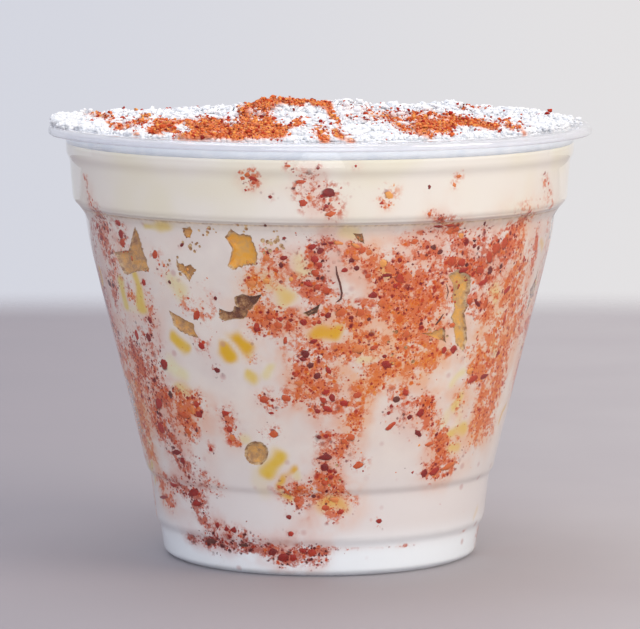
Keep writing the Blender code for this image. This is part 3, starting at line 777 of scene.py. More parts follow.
def streaks():
    """Each streak of chile: its points on the wall, half width in metres, density and tone."""
    for line, half, dense, tone in FRONT_STREAKS:
        yield [seen_on_wall(*point) for point in line], half / PIXELS_PER_MM * MM, dense, tone
    for across, down, long, wide, _, tone in FRONT_FLAKES:
        line = [seen_on_wall(across, down), seen_on_wall(across + 1, down)]
        yield line, FLAKE_HALO * (long + wide) * MM, FLAKE_OIL, tone
    draw = random.Random(33)
    for k in range(BACK_STREAKS):
        angle = back_angle(76, k, draw.random(), BACK_STREAKS)
        height = draw.uniform(10, 58)
        lean, line = draw.uniform(-0.1, 0.1), []
        for _ in range(draw.choice((2, 3, 4))):
            line.append(on_wall(angle, max(height, 3) * MM))
            angle += lean + draw.uniform(-0.08, 0.08)
            height -= draw.uniform(3, 9)
        yield line, draw.choice((1.0, 1.6, 2.2, 3.6)) * MM, draw.uniform(0.4, 1.0), draw.uniform(0.1, 0.9)


def chile_at(points, lines):
    """How dense the chile is at each point, its tone, and how far its oil has tinted the cream."""
    clear, faint = np.ones(len(points)), np.ones(len(points))
    weight, toned = np.full(len(points), 0.001), np.full(len(points), 0.0005)
    for line, half, strength, tone in lines:
        for a, b in zip(line, line[1:]):
            a, b = np.array(a), np.array(b)
            reach = np.linalg.norm(b - a) / 2 + 5 * half
            near = np.flatnonzero(((points - (a + b) / 2) ** 2).sum(1) < reach**2)
            away = away_from(points[near], a, b) / half
            found = strength * np.exp(-0.8 * away**2)
            wide = strength * np.exp(-0.8 * (away / 2.0) ** 2)
            clear[near] *= 1 - 0.85 * found
            faint[near] *= 1 - 0.65 * wide
            weight[near] += wide
            toned[near] += wide * tone
    dense = 1 - clear
    for i in np.flatnonzero(dense > 0.02):
        spot = Vector(points[i])
        dense[i] *= 1 + 0.9 * noise.noise(spot * 240) + 0.6 * noise.noise(spot * 520)
    return np.clip(dense, 0, 1), toned / weight, 1 - faint


def paint(mesh, name, values):
    """Keeps a number for each point of a mesh, for its material to read."""
    kept = mesh.attributes.new(name, "FLOAT", "POINT")
    kept.data.foreach_set("value", np.asarray(values, np.float32))


def points_of(mesh):
    """The places of a mesh's points."""
    places = np.empty(len(mesh.vertices) * 3)
    mesh.vertices.foreach_get("co", places)
    return places.reshape(-1, 3)


def paint_chile(mesh, share=1.0):
    """Paints how the chile lies on a mesh at the wall, thinner where only a share of it shows."""
    dense, tone, oil = chile_at(points_of(mesh), list(streaks()))
    paint(mesh, "chile", dense * share)
    paint(mesh, "chile_tone", tone)
    paint(mesh, "oil", oil * share)


def filling_mesh():
    """The filling's body: turned to the cup's inside, with its pockets cut and its surface painted."""
    side = [point for point in inset(cup_wall, SUNK) if point.y < FILLING_TOP]
    outline = respaced(side, ROW)
    floor = [point for point in outline if point.x < FLOOR_RADIUS][::FLOOR_STEP]
    outline = floor + [point for point in outline if point.x >= FLOOR_RADIUS]
    top = (wall_radius(FILLING_TOP * MM) / MM - SUNK, FILLING_TOP)
    mesh = cut_pockets(turned("corn_in_cream", [*outline, top, (0.0, FILLING_TOP)], ROUND))
    points = points_of(mesh)
    veil, kernel_tone = kernels_through(points)
    paint_chile(mesh, 1 - 0.75 * veil)
    hollow = (wall_radius(points[:, 2]) - np.hypot(points[:, 0], points[:, 1])) / MM - SUNK
    hollow[(points[:, 2] < POCKETS_FROM * MM) | (points[:, 2] > POCKETS_TO * MM)] = 0
    pocket_tone, nearest = np.full(len(points), 0.5), np.full(len(points), 1.0)
    for outline, _, own in pocket_outlines():
        middle = np.array(sum(outline, Vector()) / len(outline))
        away = np.linalg.norm(points - middle, axis=1)
        pocket_tone[away < nearest] = own
        nearest = np.minimum(nearest, away)
    paint(mesh, "veil", veil)
    paint(mesh, "kernel_tone", kernel_tone)
    paint(mesh, "pocket", hollow)
    paint(mesh, "pocket_tone", pocket_tone)
    mesh.shade_smooth()
    mesh.set_sharp_from_angle(angle=math.radians(50))
    return mesh


def kept(tree, name):
    """A number painted on a mesh."""
    return node(tree, "Attribute", attribute_name=name).outputs["Fac"]


def ramp(tree, share, *stops):
    """Colours along a share: each stop is a position and a colour."""
    made = node(tree, "ValToRGB", {"Fac": share})
    band = made.color_ramp
    for position, _ in stops[2:]:
        band.elements.new(position)
    for stop, (position, tint) in zip(band.elements, stops):
        stop.position = position
        stop.color = tint
    return made.outputs["Color"]


def cream_tint(tree):
    """Cream against the wall: warm under the rim, faintly pink lower down, and near white and cool at the
    foot, where it is lightened as painted light.
    """
    height = node(tree, "SeparateXYZ", {"Vector": place_of(tree)}).outputs["Z"]
    uneven = between(tree, mottle(tree, 140, 3.0), 0.35, 0.65)
    body = blend(tree, uneven, colour(228, 214, 205), colour(236, 224, 213))
    lower = blend(tree, between(tree, height, 10 * MM, 26 * MM), colour(230, 221, 217), body)
    # Painted light: the foot's cream lightened to near white and cooled, for the bright light that it
    # catches.
    low = blend(tree, between(tree, height, 3 * MM, 9.5 * MM), colour(248, 251, 253), lower)
    clouds = between(tree, mottle(tree, 55, 2.0, 0.5, 8.0), 0.4, 0.6)
    under_cheese = blend(tree, clouds, colour(240, 231, 219), colour(237, 227, 205))
    return blend(tree, between(tree, height, 57 * MM, 61 * MM), low, under_cheese)


def weighed(tree, *patterns):
    """Two patterns laid together, each with its own weight."""
    return maths(tree, "ADD", *(maths(tree, "MULTIPLY", pattern, weight) for pattern, weight in patterns))


def plus(tree, first, second, share):
    """Two patterns laid together, with a share of the second."""
    return weighed(tree, (first, 1 - share), (second, share))


def wandering(tree, per_metre, reach):
    """The place on the object, pushed about by up to a reach in metres."""
    uneven = node(tree, "TexNoise", {"Vector": place_of(tree), "Scale": per_metre, "Detail": 2.0})
    inputs = {0: uneven.outputs["Color"], 1: (reach, reach, reach), 2: place_of(tree)}
    return node(tree, "VectorMath", inputs, operation="MULTIPLY_ADD").outputs[0]


def grained(tree, base, chile, tone, per_metre, share):
    """Soft painted grains over a colour: some of its small cells where the chile lies, each with a tone."""
    place = wandering(tree, 0.9 * per_metre, 1.1 / per_metre)
    cells = node(tree, "TexVoronoi", {"Vector": place, "Scale": per_metre, "Randomness": 1.0})
    own = node(tree, "SeparateColor", {0: cells.outputs["Color"]})
    above = maths(tree, "SUBTRACT", maths(tree, "MULTIPLY", chile, share), own.outputs[0])
    there = between(tree, above, 0.0, 0.14)
    reach = plus(tree, cells.outputs["Distance"], own.outputs[2], 0.3)
    spot = maths(tree, "MULTIPLY", there, between(tree, reach, 0.28, 0.66, 1.0, 0.0))
    shade = ramp(
        tree,
        plus(tree, plus(tree, tone, own.outputs[1], 0.5), between(tree, reach, 0.25, 0.6), 0.25),
        (0.18, colour(78, 8, 6)),
        (0.34, colour(152, 22, 8)),
        (0.46, colour(200, 62, 10)),
        (0.62, colour(222, 106, 14)),
        (0.85, colour(234, 158, 48)),
    )
    return blend(tree, spot, base, shade)


def dusted(tree, base):
    """Chile in the cream: its oil tints the cream, and coarse, middling and fine grains lie in the tint."""
    chile, tone, oil = kept(tree, "chile"), kept(tree, "chile_tone"), kept(tree, "oil")
    tint = ramp(
        tree,
        tone,
        (0.0, colour(206, 154, 148)),
        (0.5, colour(230, 168, 136)),
        (1.0, colour(240, 172, 90)),
    )
    clouds = between(tree, mottle(tree, 220, 3.0, 0.5, 5.0), 0.3, 0.66, 0.28, 1.0)
    cloudy = maths(tree, "MULTIPLY", oil, clouds)
    tinted = blend(tree, between(tree, cloudy, 0.02, 0.9, 0.0, 0.8), base, tint)
    wash = ramp(
        tree,
        tone,
        (0.0, colour(164, 70, 54)),
        (0.5, colour(212, 92, 34)),
        (1.0, colour(228, 122, 18)),
    )
    broken = plus(tree, chile, between(tree, mottle(tree, 620, 5.0, 0.72, 2.0), 0.36, 0.64), 0.56)
    thickest = between(tree, broken, 0.37, 0.7, 0.0, 0.88)
    thick = maths(tree, "MULTIPLY", thickest, between(tree, chile, 0.05, 0.3))
    washed = blend(tree, thick, tinted, wash)
    fine = grained(tree, washed, chile, tone, 2500.0, 0.7)
    middling = grained(tree, fine, chile, tone, 1500.0, 0.55)
    return grained(tree, middling, chile, tone, 900.0, 0.3)


def corn_in_cream_finish():
    """Cream that shows the kernels and the chile just under it, and the kernels behind air pockets, slick
    with juice, with painted shade where they lie deep and at the pockets' edges.
    """
    made, tree, shader = new_finish("corn_in_cream")
    veil = kept(tree, "veil")
    corn = ramp(
        tree,
        plus(tree, kept(tree, "kernel_tone"), mottle(tree, 520, 2.0, 0.5, 1.0), 0.25),
        (0.15, colour(234, 228, 186)),
        (0.4, colour(228, 200, 106)),
        (0.62, colour(228, 180, 36)),
        (0.85, colour(226, 162, 4)),
    )
    veiled = blend(tree, between(tree, veil, 0.05, 0.95), cream_tint(tree), corn)
    spots = node(tree, "TexVoronoi", {"Vector": place_of(tree), "Scale": 380.0, "Randomness": 1.0})
    own = node(tree, "SeparateColor", {0: spots.outputs["Color"]}).outputs[0]
    few = between(tree, own, 0.84, 0.88)
    spot = maths(tree, "MULTIPLY", between(tree, spots.outputs["Distance"], 0.1, 0.3, 0.5, 0.0), few)
    spotted = blend(tree, spot, veiled, colour(196, 144, 140))
    hollow = kept(tree, "pocket")
    # Painted shade: the pockets' tones run from dark brown, a kernel lying deep behind in shade, to golden,
    # one close behind.
    wet_and_shaded = ramp(
        tree,
        plus(tree, kept(tree, "pocket_tone"), between(tree, mottle(tree, 420, 6.0, 0.75), 0.34, 0.66), 0.42),
        (0.08, colour(92, 42, 14)),
        (0.25, colour(134, 76, 36)),
        (0.42, colour(192, 142, 90)),
        (0.6, colour(224, 166, 88)),
        (0.78, colour(244, 176, 60)),
        (0.95, colour(242, 166, 20)),
    )
    # Painted shade: darker brown flecks on the pockets' shallow walls, where the cream turns away from the
    # plastic.
    flecks = between(tree, mottle(tree, 1500, 2.0), 0.35, 0.65)
    rim = blend(tree, flecks, colour(158, 108, 62), colour(222, 188, 140))
    edged = blend(tree, between(tree, hollow, 0.3, 0.6), rim, wet_and_shaded)
    wall_skin = blend(tree, between(tree, hollow, 0.05, 0.12), dusted(tree, spotted), edged)
    tree.links.new(wall_skin, shader.inputs["Base Color"])
    roughness(tree, shader, mottle(tree, 500), 0.28, 0.45)
    shader.inputs["Specular IOR Level"].default_value = 0.25
    relief(tree, shader, mottle(tree, 700, 2.0), 0.05 * MM, 0.6)
    return made


filling = piece("corn_in_cream_body", filling_mesh(), corn_in_cream_finish())
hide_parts("corn_in_cream")

# ---------------------------------------------------------------------------------------------------------
# The kernels that reach the wall or show in an air pocket: whole boiled kernels, each a plump blunt tooth
# with a dent in its crown, its yellow skin glossy and cloudy in places.
# ---------------------------------------------------------------------------------------------------------
KERNEL_SKIN = 0.14  # mm more of cream over the kernels, so that none breaks through it


def kernel_shape():
    """One kernel, its crown at +X and its broad side facing Z."""
    bm = bmesh.new()
    bmesh.ops.create_icosphere(bm, subdivisions=4, radius=1.0)
    for point in bm.verts:
        x, y, z = point.co
        square = 1.0 + 0.16 * (1 - abs(x)) * abs(y)
        narrow = 1.0 - 0.34 * max(0.0, -x) ** 1.2
        dent = 0.16 * math.exp(-((y / 0.45) ** 2) - (z / 0.6) ** 2) if x > 0 else 0.0
        point.co = Vector((x * (1 - dent), y * narrow * square, z * (0.9 + 0.1 * x)))
    bmesh.ops.scale(bm, vec=Vector(KERNEL) * MM, verts=bm.verts)
    return shape_of(bm)


def shape_of(bm):
    """A small shape as arrays of its points and its triangles."""
    bmesh.ops.triangulate(bm, faces=bm.faces)
    bmesh.ops.recalc_face_normals(bm, faces=bm.faces)
    bm.verts.index_update()
    points = np.array([point.co for point in bm.verts])
    sides = np.array([[point.index for point in face.verts] for face in bm.faces])
    bm.free()
    return points, sides


def scattered(name, places):
    """One mesh of many small pieces: each a shape put at its place, with a tone and a middle of its own."""
    points, sides, tones, middles, count = [], [], [], [], 0
    for (corners, triangles), stand, tone in places:
        turn = np.array(stand)
        points.append(corners @ turn[:3, :3].T + turn[:3, 3])
        sides.append(triangles + count)
        tones.append(np.full(len(corners), tone))
        rises = corners[:, 2] - corners[:, 2].min()
        middles.append(rises / max(rises.max(), 1e-9))
        count += len(corners)
    sides = np.concatenate(sides)
    mesh = bpy.data.meshes.new(name)
    mesh.vertices.add(count)
    mesh.vertices.foreach_set("co", np.concatenate(points).ravel())
    mesh.loops.add(sides.size)
    mesh.loops.foreach_set("vertex_index", sides.ravel())
    mesh.polygons.add(len(sides))
    mesh.polygons.foreach_set("loop_start", np.arange(0, sides.size, 3))
    mesh.update(calc_edges=True)
    mesh.shade_smooth()
    paint(mesh, "tone", np.concatenate(tones))
    paint(mesh, "middle", np.concatenate(middles))
    return mesh


def kernel_finish():
    """Glossy kernel skin: golden, with cloudier, paler patches."""
    made, tree, shader = new_finish("corn_kernel")
    skin = ramp(
        tree,
        weighed(tree, (kept(tree, "tone"), 0.6), (mottle(tree, 330, 3.0), 0.5)),
        (0.15, colour(208, 134, 54)),
        (0.45, colour(232, 158, 44)),
        (0.75, colour(240, 182, 84)),
        (1.0, colour(240, 206, 144)),
    )
    tree.links.new(skin, shader.inputs["Base Color"])
    roughness(tree, shader, mottle(tree, 800), 0.25, 0.4)
    relief(tree, shader, mottle(tree, 1100, 2.0), 0.04 * MM)
    return made


def kernel_places():
    """Each kernel close enough to the wall to show."""
    draw = random.Random(8)
    shape = kernel_shape()
    for stand in kernel_stands():
        back = stand.translation * Vector((1, 1, 0))
        yield shape, Matrix.Translation(-back.normalized() * KERNEL_SKIN * MM) @ stand, draw.random()


kernels = piece("corn_kernels", scattered("corn_kernels", kernel_places()), kernel_finish())

# ---------------------------------------------------------------------------------------------------------
# The ground chile against the wall: coarse dark red flakes of skin, finer red and orange grains that lie
# thickest in the streaks, and a few brown threads, all pressed between the cream and the plastic.
# ---------------------------------------------------------------------------------------------------------
FRONT_THREADS = (  # brown threads: points by pixel and half their thickness in mm
    (((336, 266), (337, 274), (340, 283), (342, 293), (341, 299), (337, 302)), 0.18),
    (((444, 314), (440, 320), (436, 325)), 0.2),
    (((447, 284), (449, 292), (447, 299)), 0.11),
)
FLAKE_SPREAD = 1.3  # a flake's size against what shows of it, because its edges sink into the cream
FLAKE_THICK, GRAIN_THICK = 0.2, 0.22  # mm
JUST_INSIDE = 0.07  # mm from the food's surface to a flake's back
GRAINS_PER_SQUARE_MM = 15.0  # tried by chance, of which those stay that the streaks call for
GRAIN_SMALL, GRAIN_MORE, GRAIN_LARGE = 0.48, 0.2, 1.3  # mm
IN_STREAKS, IN_OIL, ANYWHERE = 0.095, 0.006, 0.0006  # the shares of grains that stay
MEAN_RADIUS = 35  # of the filling, in mm


def flake_shapes():
    """Flakes of dried skin of several outlines, 1 long and 1 wide, thicker in the middle."""
    draw = random.Random(3)
    for _ in range(9):
        bm = bmesh.new()
        bmesh.ops.create_cone(bm, segments=11, radius1=0.5, radius2=0.3, depth=0.6, cap_ends=True)
        top = [face for face in bm.faces if face.normal.z > 0.9]
        middle = bmesh.ops.poke(bm, faces=top)["verts"][0]
        middle.co = Vector((0, 0, 0.5))
        for point in bm.verts:
            if point != middle:
                point.co *= draw.uniform(0.7, 1.15)
        bmesh.ops.translate(bm, vec=(0, 0, 0.3), verts=bm.verts)
        yield shape_of(bm)


def grain_shapes():
    """Ground grains: small broken lumps."""
    draw = random.Random(4)
    for _ in range(6):
        bm = bmesh.new()
        bmesh.ops.create_cone(bm, segments=5, radius1=0.5, radius2=0.0, depth=0.8, cap_ends=True)
        for point in bm.verts:
            point.co += Vector([draw.uniform(-0.16, 0.16) for _ in range(3)])
        yield shape_of(bm)


def flake_places():
    """The flakes seen at the front, and others along the streaks round the back."""
    draw = random.Random(14)
    shapes = list(flake_shapes())
    for across, down, long, wide, turn, tone in FRONT_FLAKES:
        spot = seen_on_wall(across, down)
        foreshortened = max(0.4, math.cos(round_and_up(spot)[0]))
        long, wide = (FLAKE_SPREAD * pixels / PIXELS_PER_MM * MM for pixels in (long, wide))
        size = Matrix.Diagonal((long, wide / foreshortened, FLAKE_THICK * MM, 1))
        stand = against_wall(spot, -math.radians(turn), SUNK + JUST_INSIDE, draw.uniform(-0.09, 0.09))
        yield draw.choice(shapes), stand @ size, min(max(tone + draw.gauss(0, 0.06), 0), 1)
    lines = list(streaks())[len(FRONT_STREAKS) + len(FRONT_FLAKES) :]
    for line, half, dense, tone in lines:
        for a, b in zip(line, line[1:]):
            for _ in range(round((b - a).length / MM * half / MM * dense * 0.55) + 1):
                spot = a.lerp(b, draw.random())
                angle, height = round_and_up(spot)
                angle += draw.gauss(0, 0.55) * half / wall_radius(height)
                height = min(max(height + draw.gauss(0, 0.5) * half, 2 * MM), 66 * MM)
                turn, tip = draw.uniform(0, math.tau), draw.uniform(-0.09, 0.09)
                stand = against_wall(on_wall(angle, height), turn, SUNK + JUST_INSIDE, tip)
                long, wide = draw.uniform(1.0, 2.6) * MM, draw.uniform(0.8, 1.5) * MM
                size = Matrix.Diagonal((long, wide, FLAKE_THICK * MM, 1))
                yield draw.choice(shapes), stand @ size, min(max(draw.gauss(tone * 0.6, 0.2), 0), 1)


def grain_places():
    """Grains strewn over the wall as thickly as the streaks say, and a few everywhere."""
    draw = np.random.default_rng(9)
    pick = random.Random(10)
    low, high = 1.5 * MM, 60 * MM
    lines = list(streaks())
    many = int(GRAINS_PER_SQUARE_MM * math.tau * MEAN_RADIUS * 58)
    angles, heights = draw.uniform(-math.pi, math.pi, many), draw.uniform(low, high, many)
    radii = wall_radius(heights)
    points = np.stack((radii * np.sin(angles), -radii * np.cos(angles), heights), 1)
    dense, tone, oil = chile_at(points, lines)
    chance = np.clip(dense**1.5 * IN_STREAKS + IN_OIL * oil + ANYWHERE, 0, 1) * radii / (MEAN_RADIUS * MM)
    kept_ones = draw.random(many) < chance
    shapes = list(grain_shapes())
    for i in np.flatnonzero(kept_ones):
        size = min(GRAIN_SMALL + pick.expovariate(1 / GRAIN_MORE), GRAIN_LARGE) * MM
        stand = against_wall(Vector(points[i]), pick.uniform(0, math.tau), SUNK + pick.uniform(0.0, 0.08))
        flat = Matrix.Diagonal((size, size * pick.uniform(0.6, 1.1), GRAIN_THICK * MM, 1))
        yield pick.choice(shapes), stand @ flat, min(max(pick.gauss(tone[i] * 0.85 + 0.05, 0.2), 0), 1)


def strand(points, radius, sides=5):
    """A thin strand along some points, tapering at both ends, as a shape."""
    corners, triangles = [], []
    for k, point in enumerate(points):
        along = points[min(k + 1, len(points) - 1)] - points[max(k - 1, 0)]
        turn = along.to_track_quat("Z", "Y").to_matrix()
        taper = radius * (0.45 if k in (0, len(points) - 1) else 1.0)
        for side in range(sides):
            angle = math.tau * side / sides
            corners.append(point + turn @ Vector((math.cos(angle), math.sin(angle), 0)) * taper)
    for k in range(len(points) - 1):
        for side in range(sides):
            a, b = k * sides + side, k * sides + (side + 1) % sides
            triangles += [(a, b, b + sides), (a, b + sides, a + sides)]
    last = (len(points) - 1) * sides
    for side in range(1, sides - 1):
        triangles += [(0, side + 1, side), (last, last + side, last + side + 1)]
    return np.array(corners), np.array(triangles)


def thread_places():
    """The brown threads against the wall."""
    for line, half in FRONT_THREADS:
        spots = [seen_on_wall(*point) for point in line]
        yield strand([on_wall(*round_and_up(spot), sunk=SUNK) for spot in spots], half * MM), Matrix(), 0.0


def chile_finish(name, dullness, soaked=False):
    """Dried chile from near black to orange, by its own tone. Soaked, it is paler and clear at its edges."""
    made, tree, shader = new_finish(name)
    shade = maths(tree, "ADD", kept(tree, "tone"), maths(tree, "MULTIPLY", mottle(tree, 1400, 2.0), 0.22))
    if soaked:
        inner = kept(tree, "middle")
        shade = maths(tree, "ADD", shade, between(tree, inner, 0.05, 0.6, 0.24, 0.0))
        tree.links.new(between(tree, inner, 0.0, 0.6, 0.0, 0.95), shader.inputs["Alpha"])
    skin = ramp(
        tree,
        shade,
        (0.08, colour(100, 60, 48)),
        (0.2, colour(118, 18, 14)),
        (0.42, colour(178, 38, 18)),
        (0.68, colour(214, 98, 44)),
        (0.9, colour(234, 144, 78)),
        (1.0, colour(240, 164, 84)),
    )
    tree.links.new(skin, shader.inputs["Base Color"])
    roughness(tree, shader, mottle(tree, 900), dullness - 0.1, dullness + 0.1)
    shader.inputs["Specular IOR Level"].default_value = 0.3
    relief(tree, shader, mottle(tree, 1800, 2.0), 0.06 * MM)
    return made


wet_chile = chile_finish("wet_chile", 0.45, soaked=True)
flakes = piece("chile_flakes", scattered("chile_flakes", flake_places()), wet_chile)
grains = piece("chile_grains", scattered("chile_grains", grain_places()), wet_chile)
thread_mesh = scattered("chile_threads", thread_places())
threads = piece("chile_threads", thread_mesh, chile_finish("brown_thread", 0.5))

# ---------------------------------------------------------------------------------------------------------
# The plain layer of cream: thick cream without corn, spooned over the corn in cream. It fills the collar up
# to the cheese and clings to the wall all round.
# ---------------------------------------------------------------------------------------------------------
CREAM_BOTTOM, CREAM_TOP = FILLING_TOP - 0.15, 70.4
CREAM_ROW, CREAM_ROUND = 0.6, 400  # mm between the rows of facets, and facets round the layer


def cream_finish():
    """Thick smooth cream with faint clouds in it."""
    made, tree, shader = new_finish("cream")
    tree.links.new(dusted(tree, cream_tint(tree)), shader.inputs["Base Color"])
    roughness(tree, shader, mottle(tree, 400), 0.3, 0.42)
    shader.inputs["Specular IOR Level"].default_value = 0.25
    return made


collar_side = [point for point in inset(cup_wall, SUNK - 0.02) if CREAM_BOTTOM < point.y < CREAM_TOP]
cream_outline = [
    Vector((0, CREAM_BOTTOM)),
    Vector((collar_side[0].x, CREAM_BOTTOM)),
    *collar_side,
    Vector((collar_side[-1].x, CREAM_TOP)),
    Vector((0, CREAM_TOP)),
]
cream_mesh = turned("cream_layer_smooth", respaced(cream_outline, CREAM_ROW), CREAM_ROUND)
paint_chile(cream_mesh)
cream = piece("cream_layer_smooth", cream_mesh, cream_finish())
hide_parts("cream_layer")

# ---------------------------------------------------------------------------------------------------------
# The cheese: dry crumbly white cheese, grated over the cream into a low heap that fills the rim. Its body
# is one uneven lump, and loose crumbs and short shreds cover it and spill onto the rim.
# ---------------------------------------------------------------------------------------------------------
HEAP_EDGE, HEAP_SHELF = 0.2, 0.3  # mm over the rim at the wall, and more a little in from it
BACK_FALL, BACK_REACH = 1.2, 42.0  # how far the heap sinks towards the back, and over how long, in mm
HEAP_RADIUS = 42.4
HEAP_RINGS, HEAP_ROUND = 72, 360  # rings and facets round the heap's top
LEVEL_TOP = RIM_TOP + 1  # where the heap's top is made level, before each place gets its own height
LUMP, LUMP_WIDE = 0.4, 1.5  # the height and width of the small lumps in the heap's top, in mm
MOUNDS = (  # x, y, radius and height of each mound on the heap, in mm
    (-42, 2, 3.5, -1.2),
    (-36, 4, 5, 1.2),
    (-29, 6, 8, 0.7),
    (-19, 8, 8, 1.3),
    (-7, 5, 7, 2.7),
    (2, 7, 7, 1.5),
    (7, 8, 3, 1.0),
    (13, 12, 8, 1.7),
    (24, 16, 8, 1.7),
    (36, 9, 6, 1.9),
    (-15, -21, 9, 0.6),
    (12, -24, 8, 0.5),
    (29, -13, 8, 0.5),
)


def heap_top(x, y):
    """The height of the heap's top at a place, in metres."""
    share = min(math.hypot(x, y) / (HEAP_RADIUS * MM), 1.0)
    spot = Vector((x, y, 0)) / MM
    uneven = 0.6 * noise.noise(spot / 7) + 0.4 * noise.noise(spot / 3)
    for mound_x, mound_y, wide, high in MOUNDS:
        uneven += high * math.exp(-((spot.x - mound_x) ** 2 + (spot.y - mound_y) ** 2) / wide**2)
    sunk = BACK_FALL * min(max(spot.y / BACK_REACH, 0), 1) ** 1.3
    return (RIM_TOP + HEAP_EDGE - sunk + (HEAP_SHELF + uneven) * math.sqrt(1 - share**6)) * MM


# Chile sprinkled on the heap: points by pixel along each patch, its half width in pixels and its density.
SPRINKLES = (
    (((158, 129), (176, 134), (200, 133)), 7, 1.0),
    (((160, 124), (198, 125)), 5, 0.9),
    (((200, 132), (240, 133), (280, 132)), 8, 1.0),
    (((205, 121), (222, 124)), 5, 0.8),
    (((240, 124), (272, 122)), 7, 1.0),
    (((244, 112), (262, 104)), 7, 0.9),
    (((266, 100), (300, 101)), 5, 1.0),
    (((296, 100), (330, 104)), 5, 0.9),
    (((262, 104), (280, 108), (250, 116)), 4, 0.6),
    (((331, 104), (336, 122)), 4, 0.9),
    (((285, 128), (303, 121)), 4, 0.8),
    (((317, 130), (327, 141)), 5, 0.85),
    (((336, 132), (341, 136), (351, 142)), 4, 0.85),
    (((354, 115), (390, 117), (425, 116)), 6, 0.38),
    (((396, 124), (412, 131)), 5, 0.42),
    (((400, 127), (404, 128)), 3, 0.7),
    (((418, 124), (448, 127)), 8, 1.0),
    (((424, 134), (430, 136)), 4, 0.6),
    (((430, 113), (436, 117)), 4, 0.6),
    (((446, 116), (460, 120)), 4.5, 0.8),
    (((462, 122), (475, 123)), 4, 1.0),
    (((480, 124), (496, 126)), 4.5, 1.0),
    (((508, 122), (512, 128)), 3.5, 0.8),
    (((520, 127), (527, 134)), 3.5, 0.8),
    (((88, 113), (108, 117)), 4, 0.5),
    (((107, 117), (109, 121)), 2.5, 0.8),
    (((113, 126), (118, 128)), 3, 0.8),
    (((122, 125), (146, 122)), 4, 0.55),
    (((130, 133), (137, 134)), 2.5, 0.7),
    (((143, 115), (148, 117)), 2.5, 0.6),
    (((348, 106), (365, 109)), 4, 0.3),
)
# Bare places among them: pixel and half width in pixels.
BARE = (((183, 129), 6), ((168, 135), 4), ((284, 115), 11), ((316, 115), 7), ((306, 106), 4))
PATCH_WANDER = 10  # how far the sides of a patch wander, in pixels
WANDERS, THIN_PLACES, WILD_PATCHES = 170, 230, 95  # how many of each there are to a metre
UNSEEN_FROM = 9  # mm behind the middle, from where chance alone places the chile


def seen_at(points):
    """The pixel at which each point shows."""
    away = points - np.array(CAMERA_PLACE)
    dip = CAMERA_DIP
    depth = away[:, 1] * math.cos(dip) - away[:, 2] * math.sin(dip)
    up = away[:, 1] * math.sin(dip) + away[:, 2] * math.cos(dip)
    across = PICTURE[0] / 2 + FOCAL_PIXELS * away[:, 0] / depth
    return np.stack((across, PICTURE[1] / 2 - FOCAL_PIXELS * up / depth, 0 * across), 1)


def sprinkle_at(points):
    """How dense the chile on the heap is at each point: wandering patches with thin places in them."""
    flat = [Vector((x, y, 0)) for x, y, _ in points]

    def uneven(per_metre):
        return np.array([noise.noise(spot * per_metre) for spot in flat])

    seen = seen_at(points)
    seen[:, 0] += PATCH_WANDER * uneven(WANDERS)
    thin = np.clip(1.05 + 1.3 * uneven(THIN_PLACES), 0.25, 1)
    clear = np.ones(len(points))
    for line, half, dense in SPRINKLES:
        for a, b in zip(line, line[1:]):
            away = away_from(seen, np.array((*a, 0.0)), np.array((*b, 0.0)))
            clear *= 1 - 0.9 * dense * np.exp(-((away / half) ** 2.4))
    for (across, down), half in BARE:
        away = np.linalg.norm(seen - np.array((across, down, 0)), axis=1)
        clear = 1 - (1 - clear) * (1 - np.exp(-((away / half) ** 4)))
    behind = np.clip((points[:, 1] / MM - UNSEEN_FROM) / 6, 0, 1)
    dense = np.maximum((1 - clear) * thin, behind * np.clip(uneven(WILD_PATCHES) * 2.2 - 0.15, 0, 0.9))
    return np.where(points[:, 2] > (RIM_TOP - 0.1) * MM, dense, 0)


def heap_mesh():
    """The heap's body, from the cream up, with lumps all over its top."""
    edge = RIM_INSIDE - SUNK
    side = [(0, CREAM_TOP - 0.1), (edge, CREAM_TOP - 0.1), (edge, 71.4), (edge - 0.1, 71.9)]
    rings = [(HEAP_RADIUS * k / HEAP_RINGS, LEVEL_TOP) for k in range(HEAP_RINGS, -1, -1)]
    mesh = turned("cheese_heap", side + rings, HEAP_ROUND)
    for point in mesh.vertices:
        if point.co.z > (LEVEL_TOP - 0.5) * MM:
            x, y = point.co.x, point.co.y
            near = min(1.0, (HEAP_RADIUS * MM - math.hypot(x, y)) / (1 * MM))
            spot = Vector((x, y, 0)) / MM
            lump = 0.4 - noise.voronoi(spot / LUMP_WIDE)[0][0] + 0.5 * noise.noise(spot / 0.8)
            point.co.z = heap_top(x, y) + (LUMP * lump * near - 0.25) * MM
    paint(mesh, "chile", sprinkle_at(points_of(mesh)))
    return mesh


def crumb_shapes(subdivisions):
    """Crumbs of several shapes, 1 across: broken lumps with flat and hollow sides."""
    draw = random.Random(40 + subdivisions)
    for k in range(9):
        bm = bmesh.new()
        bmesh.ops.create_icosphere(bm, subdivisions=subdivisions, radius=0.5)
        stretch = Vector((draw.uniform(0.8, 1.45), draw.uniform(0.65, 1.0), draw.uniform(0.55, 0.9)))
        for point in bm.verts:
            swell = 1 + 0.75 * noise.noise(point.co * 3.1 + Vector((7.3 * k, 1.9 * k, 0)))
            point.co = point.co * swell * stretch
        yield shape_of(bm)


def tumbled(draw, spot, size):
    """A stand at a spot, turned any way, at a size in metres."""
    spin = Matrix.Rotation(draw.uniform(0, math.tau), 4, "Z")
    tip = Matrix.Rotation(draw.uniform(0, math.tau), 4, "X")
    return Matrix.Translation(spot) @ (spin @ tip) @ Matrix.Scale(size, 4)


def over_heap(draw, count, reach):
    """Places spread over the heap by chance."""
    for _ in range(count):
        radius, turn = reach * math.sqrt(draw.random()), draw.uniform(0, math.tau)
        yield radius * math.cos(turn) * MM, radius * math.sin(turn) * MM


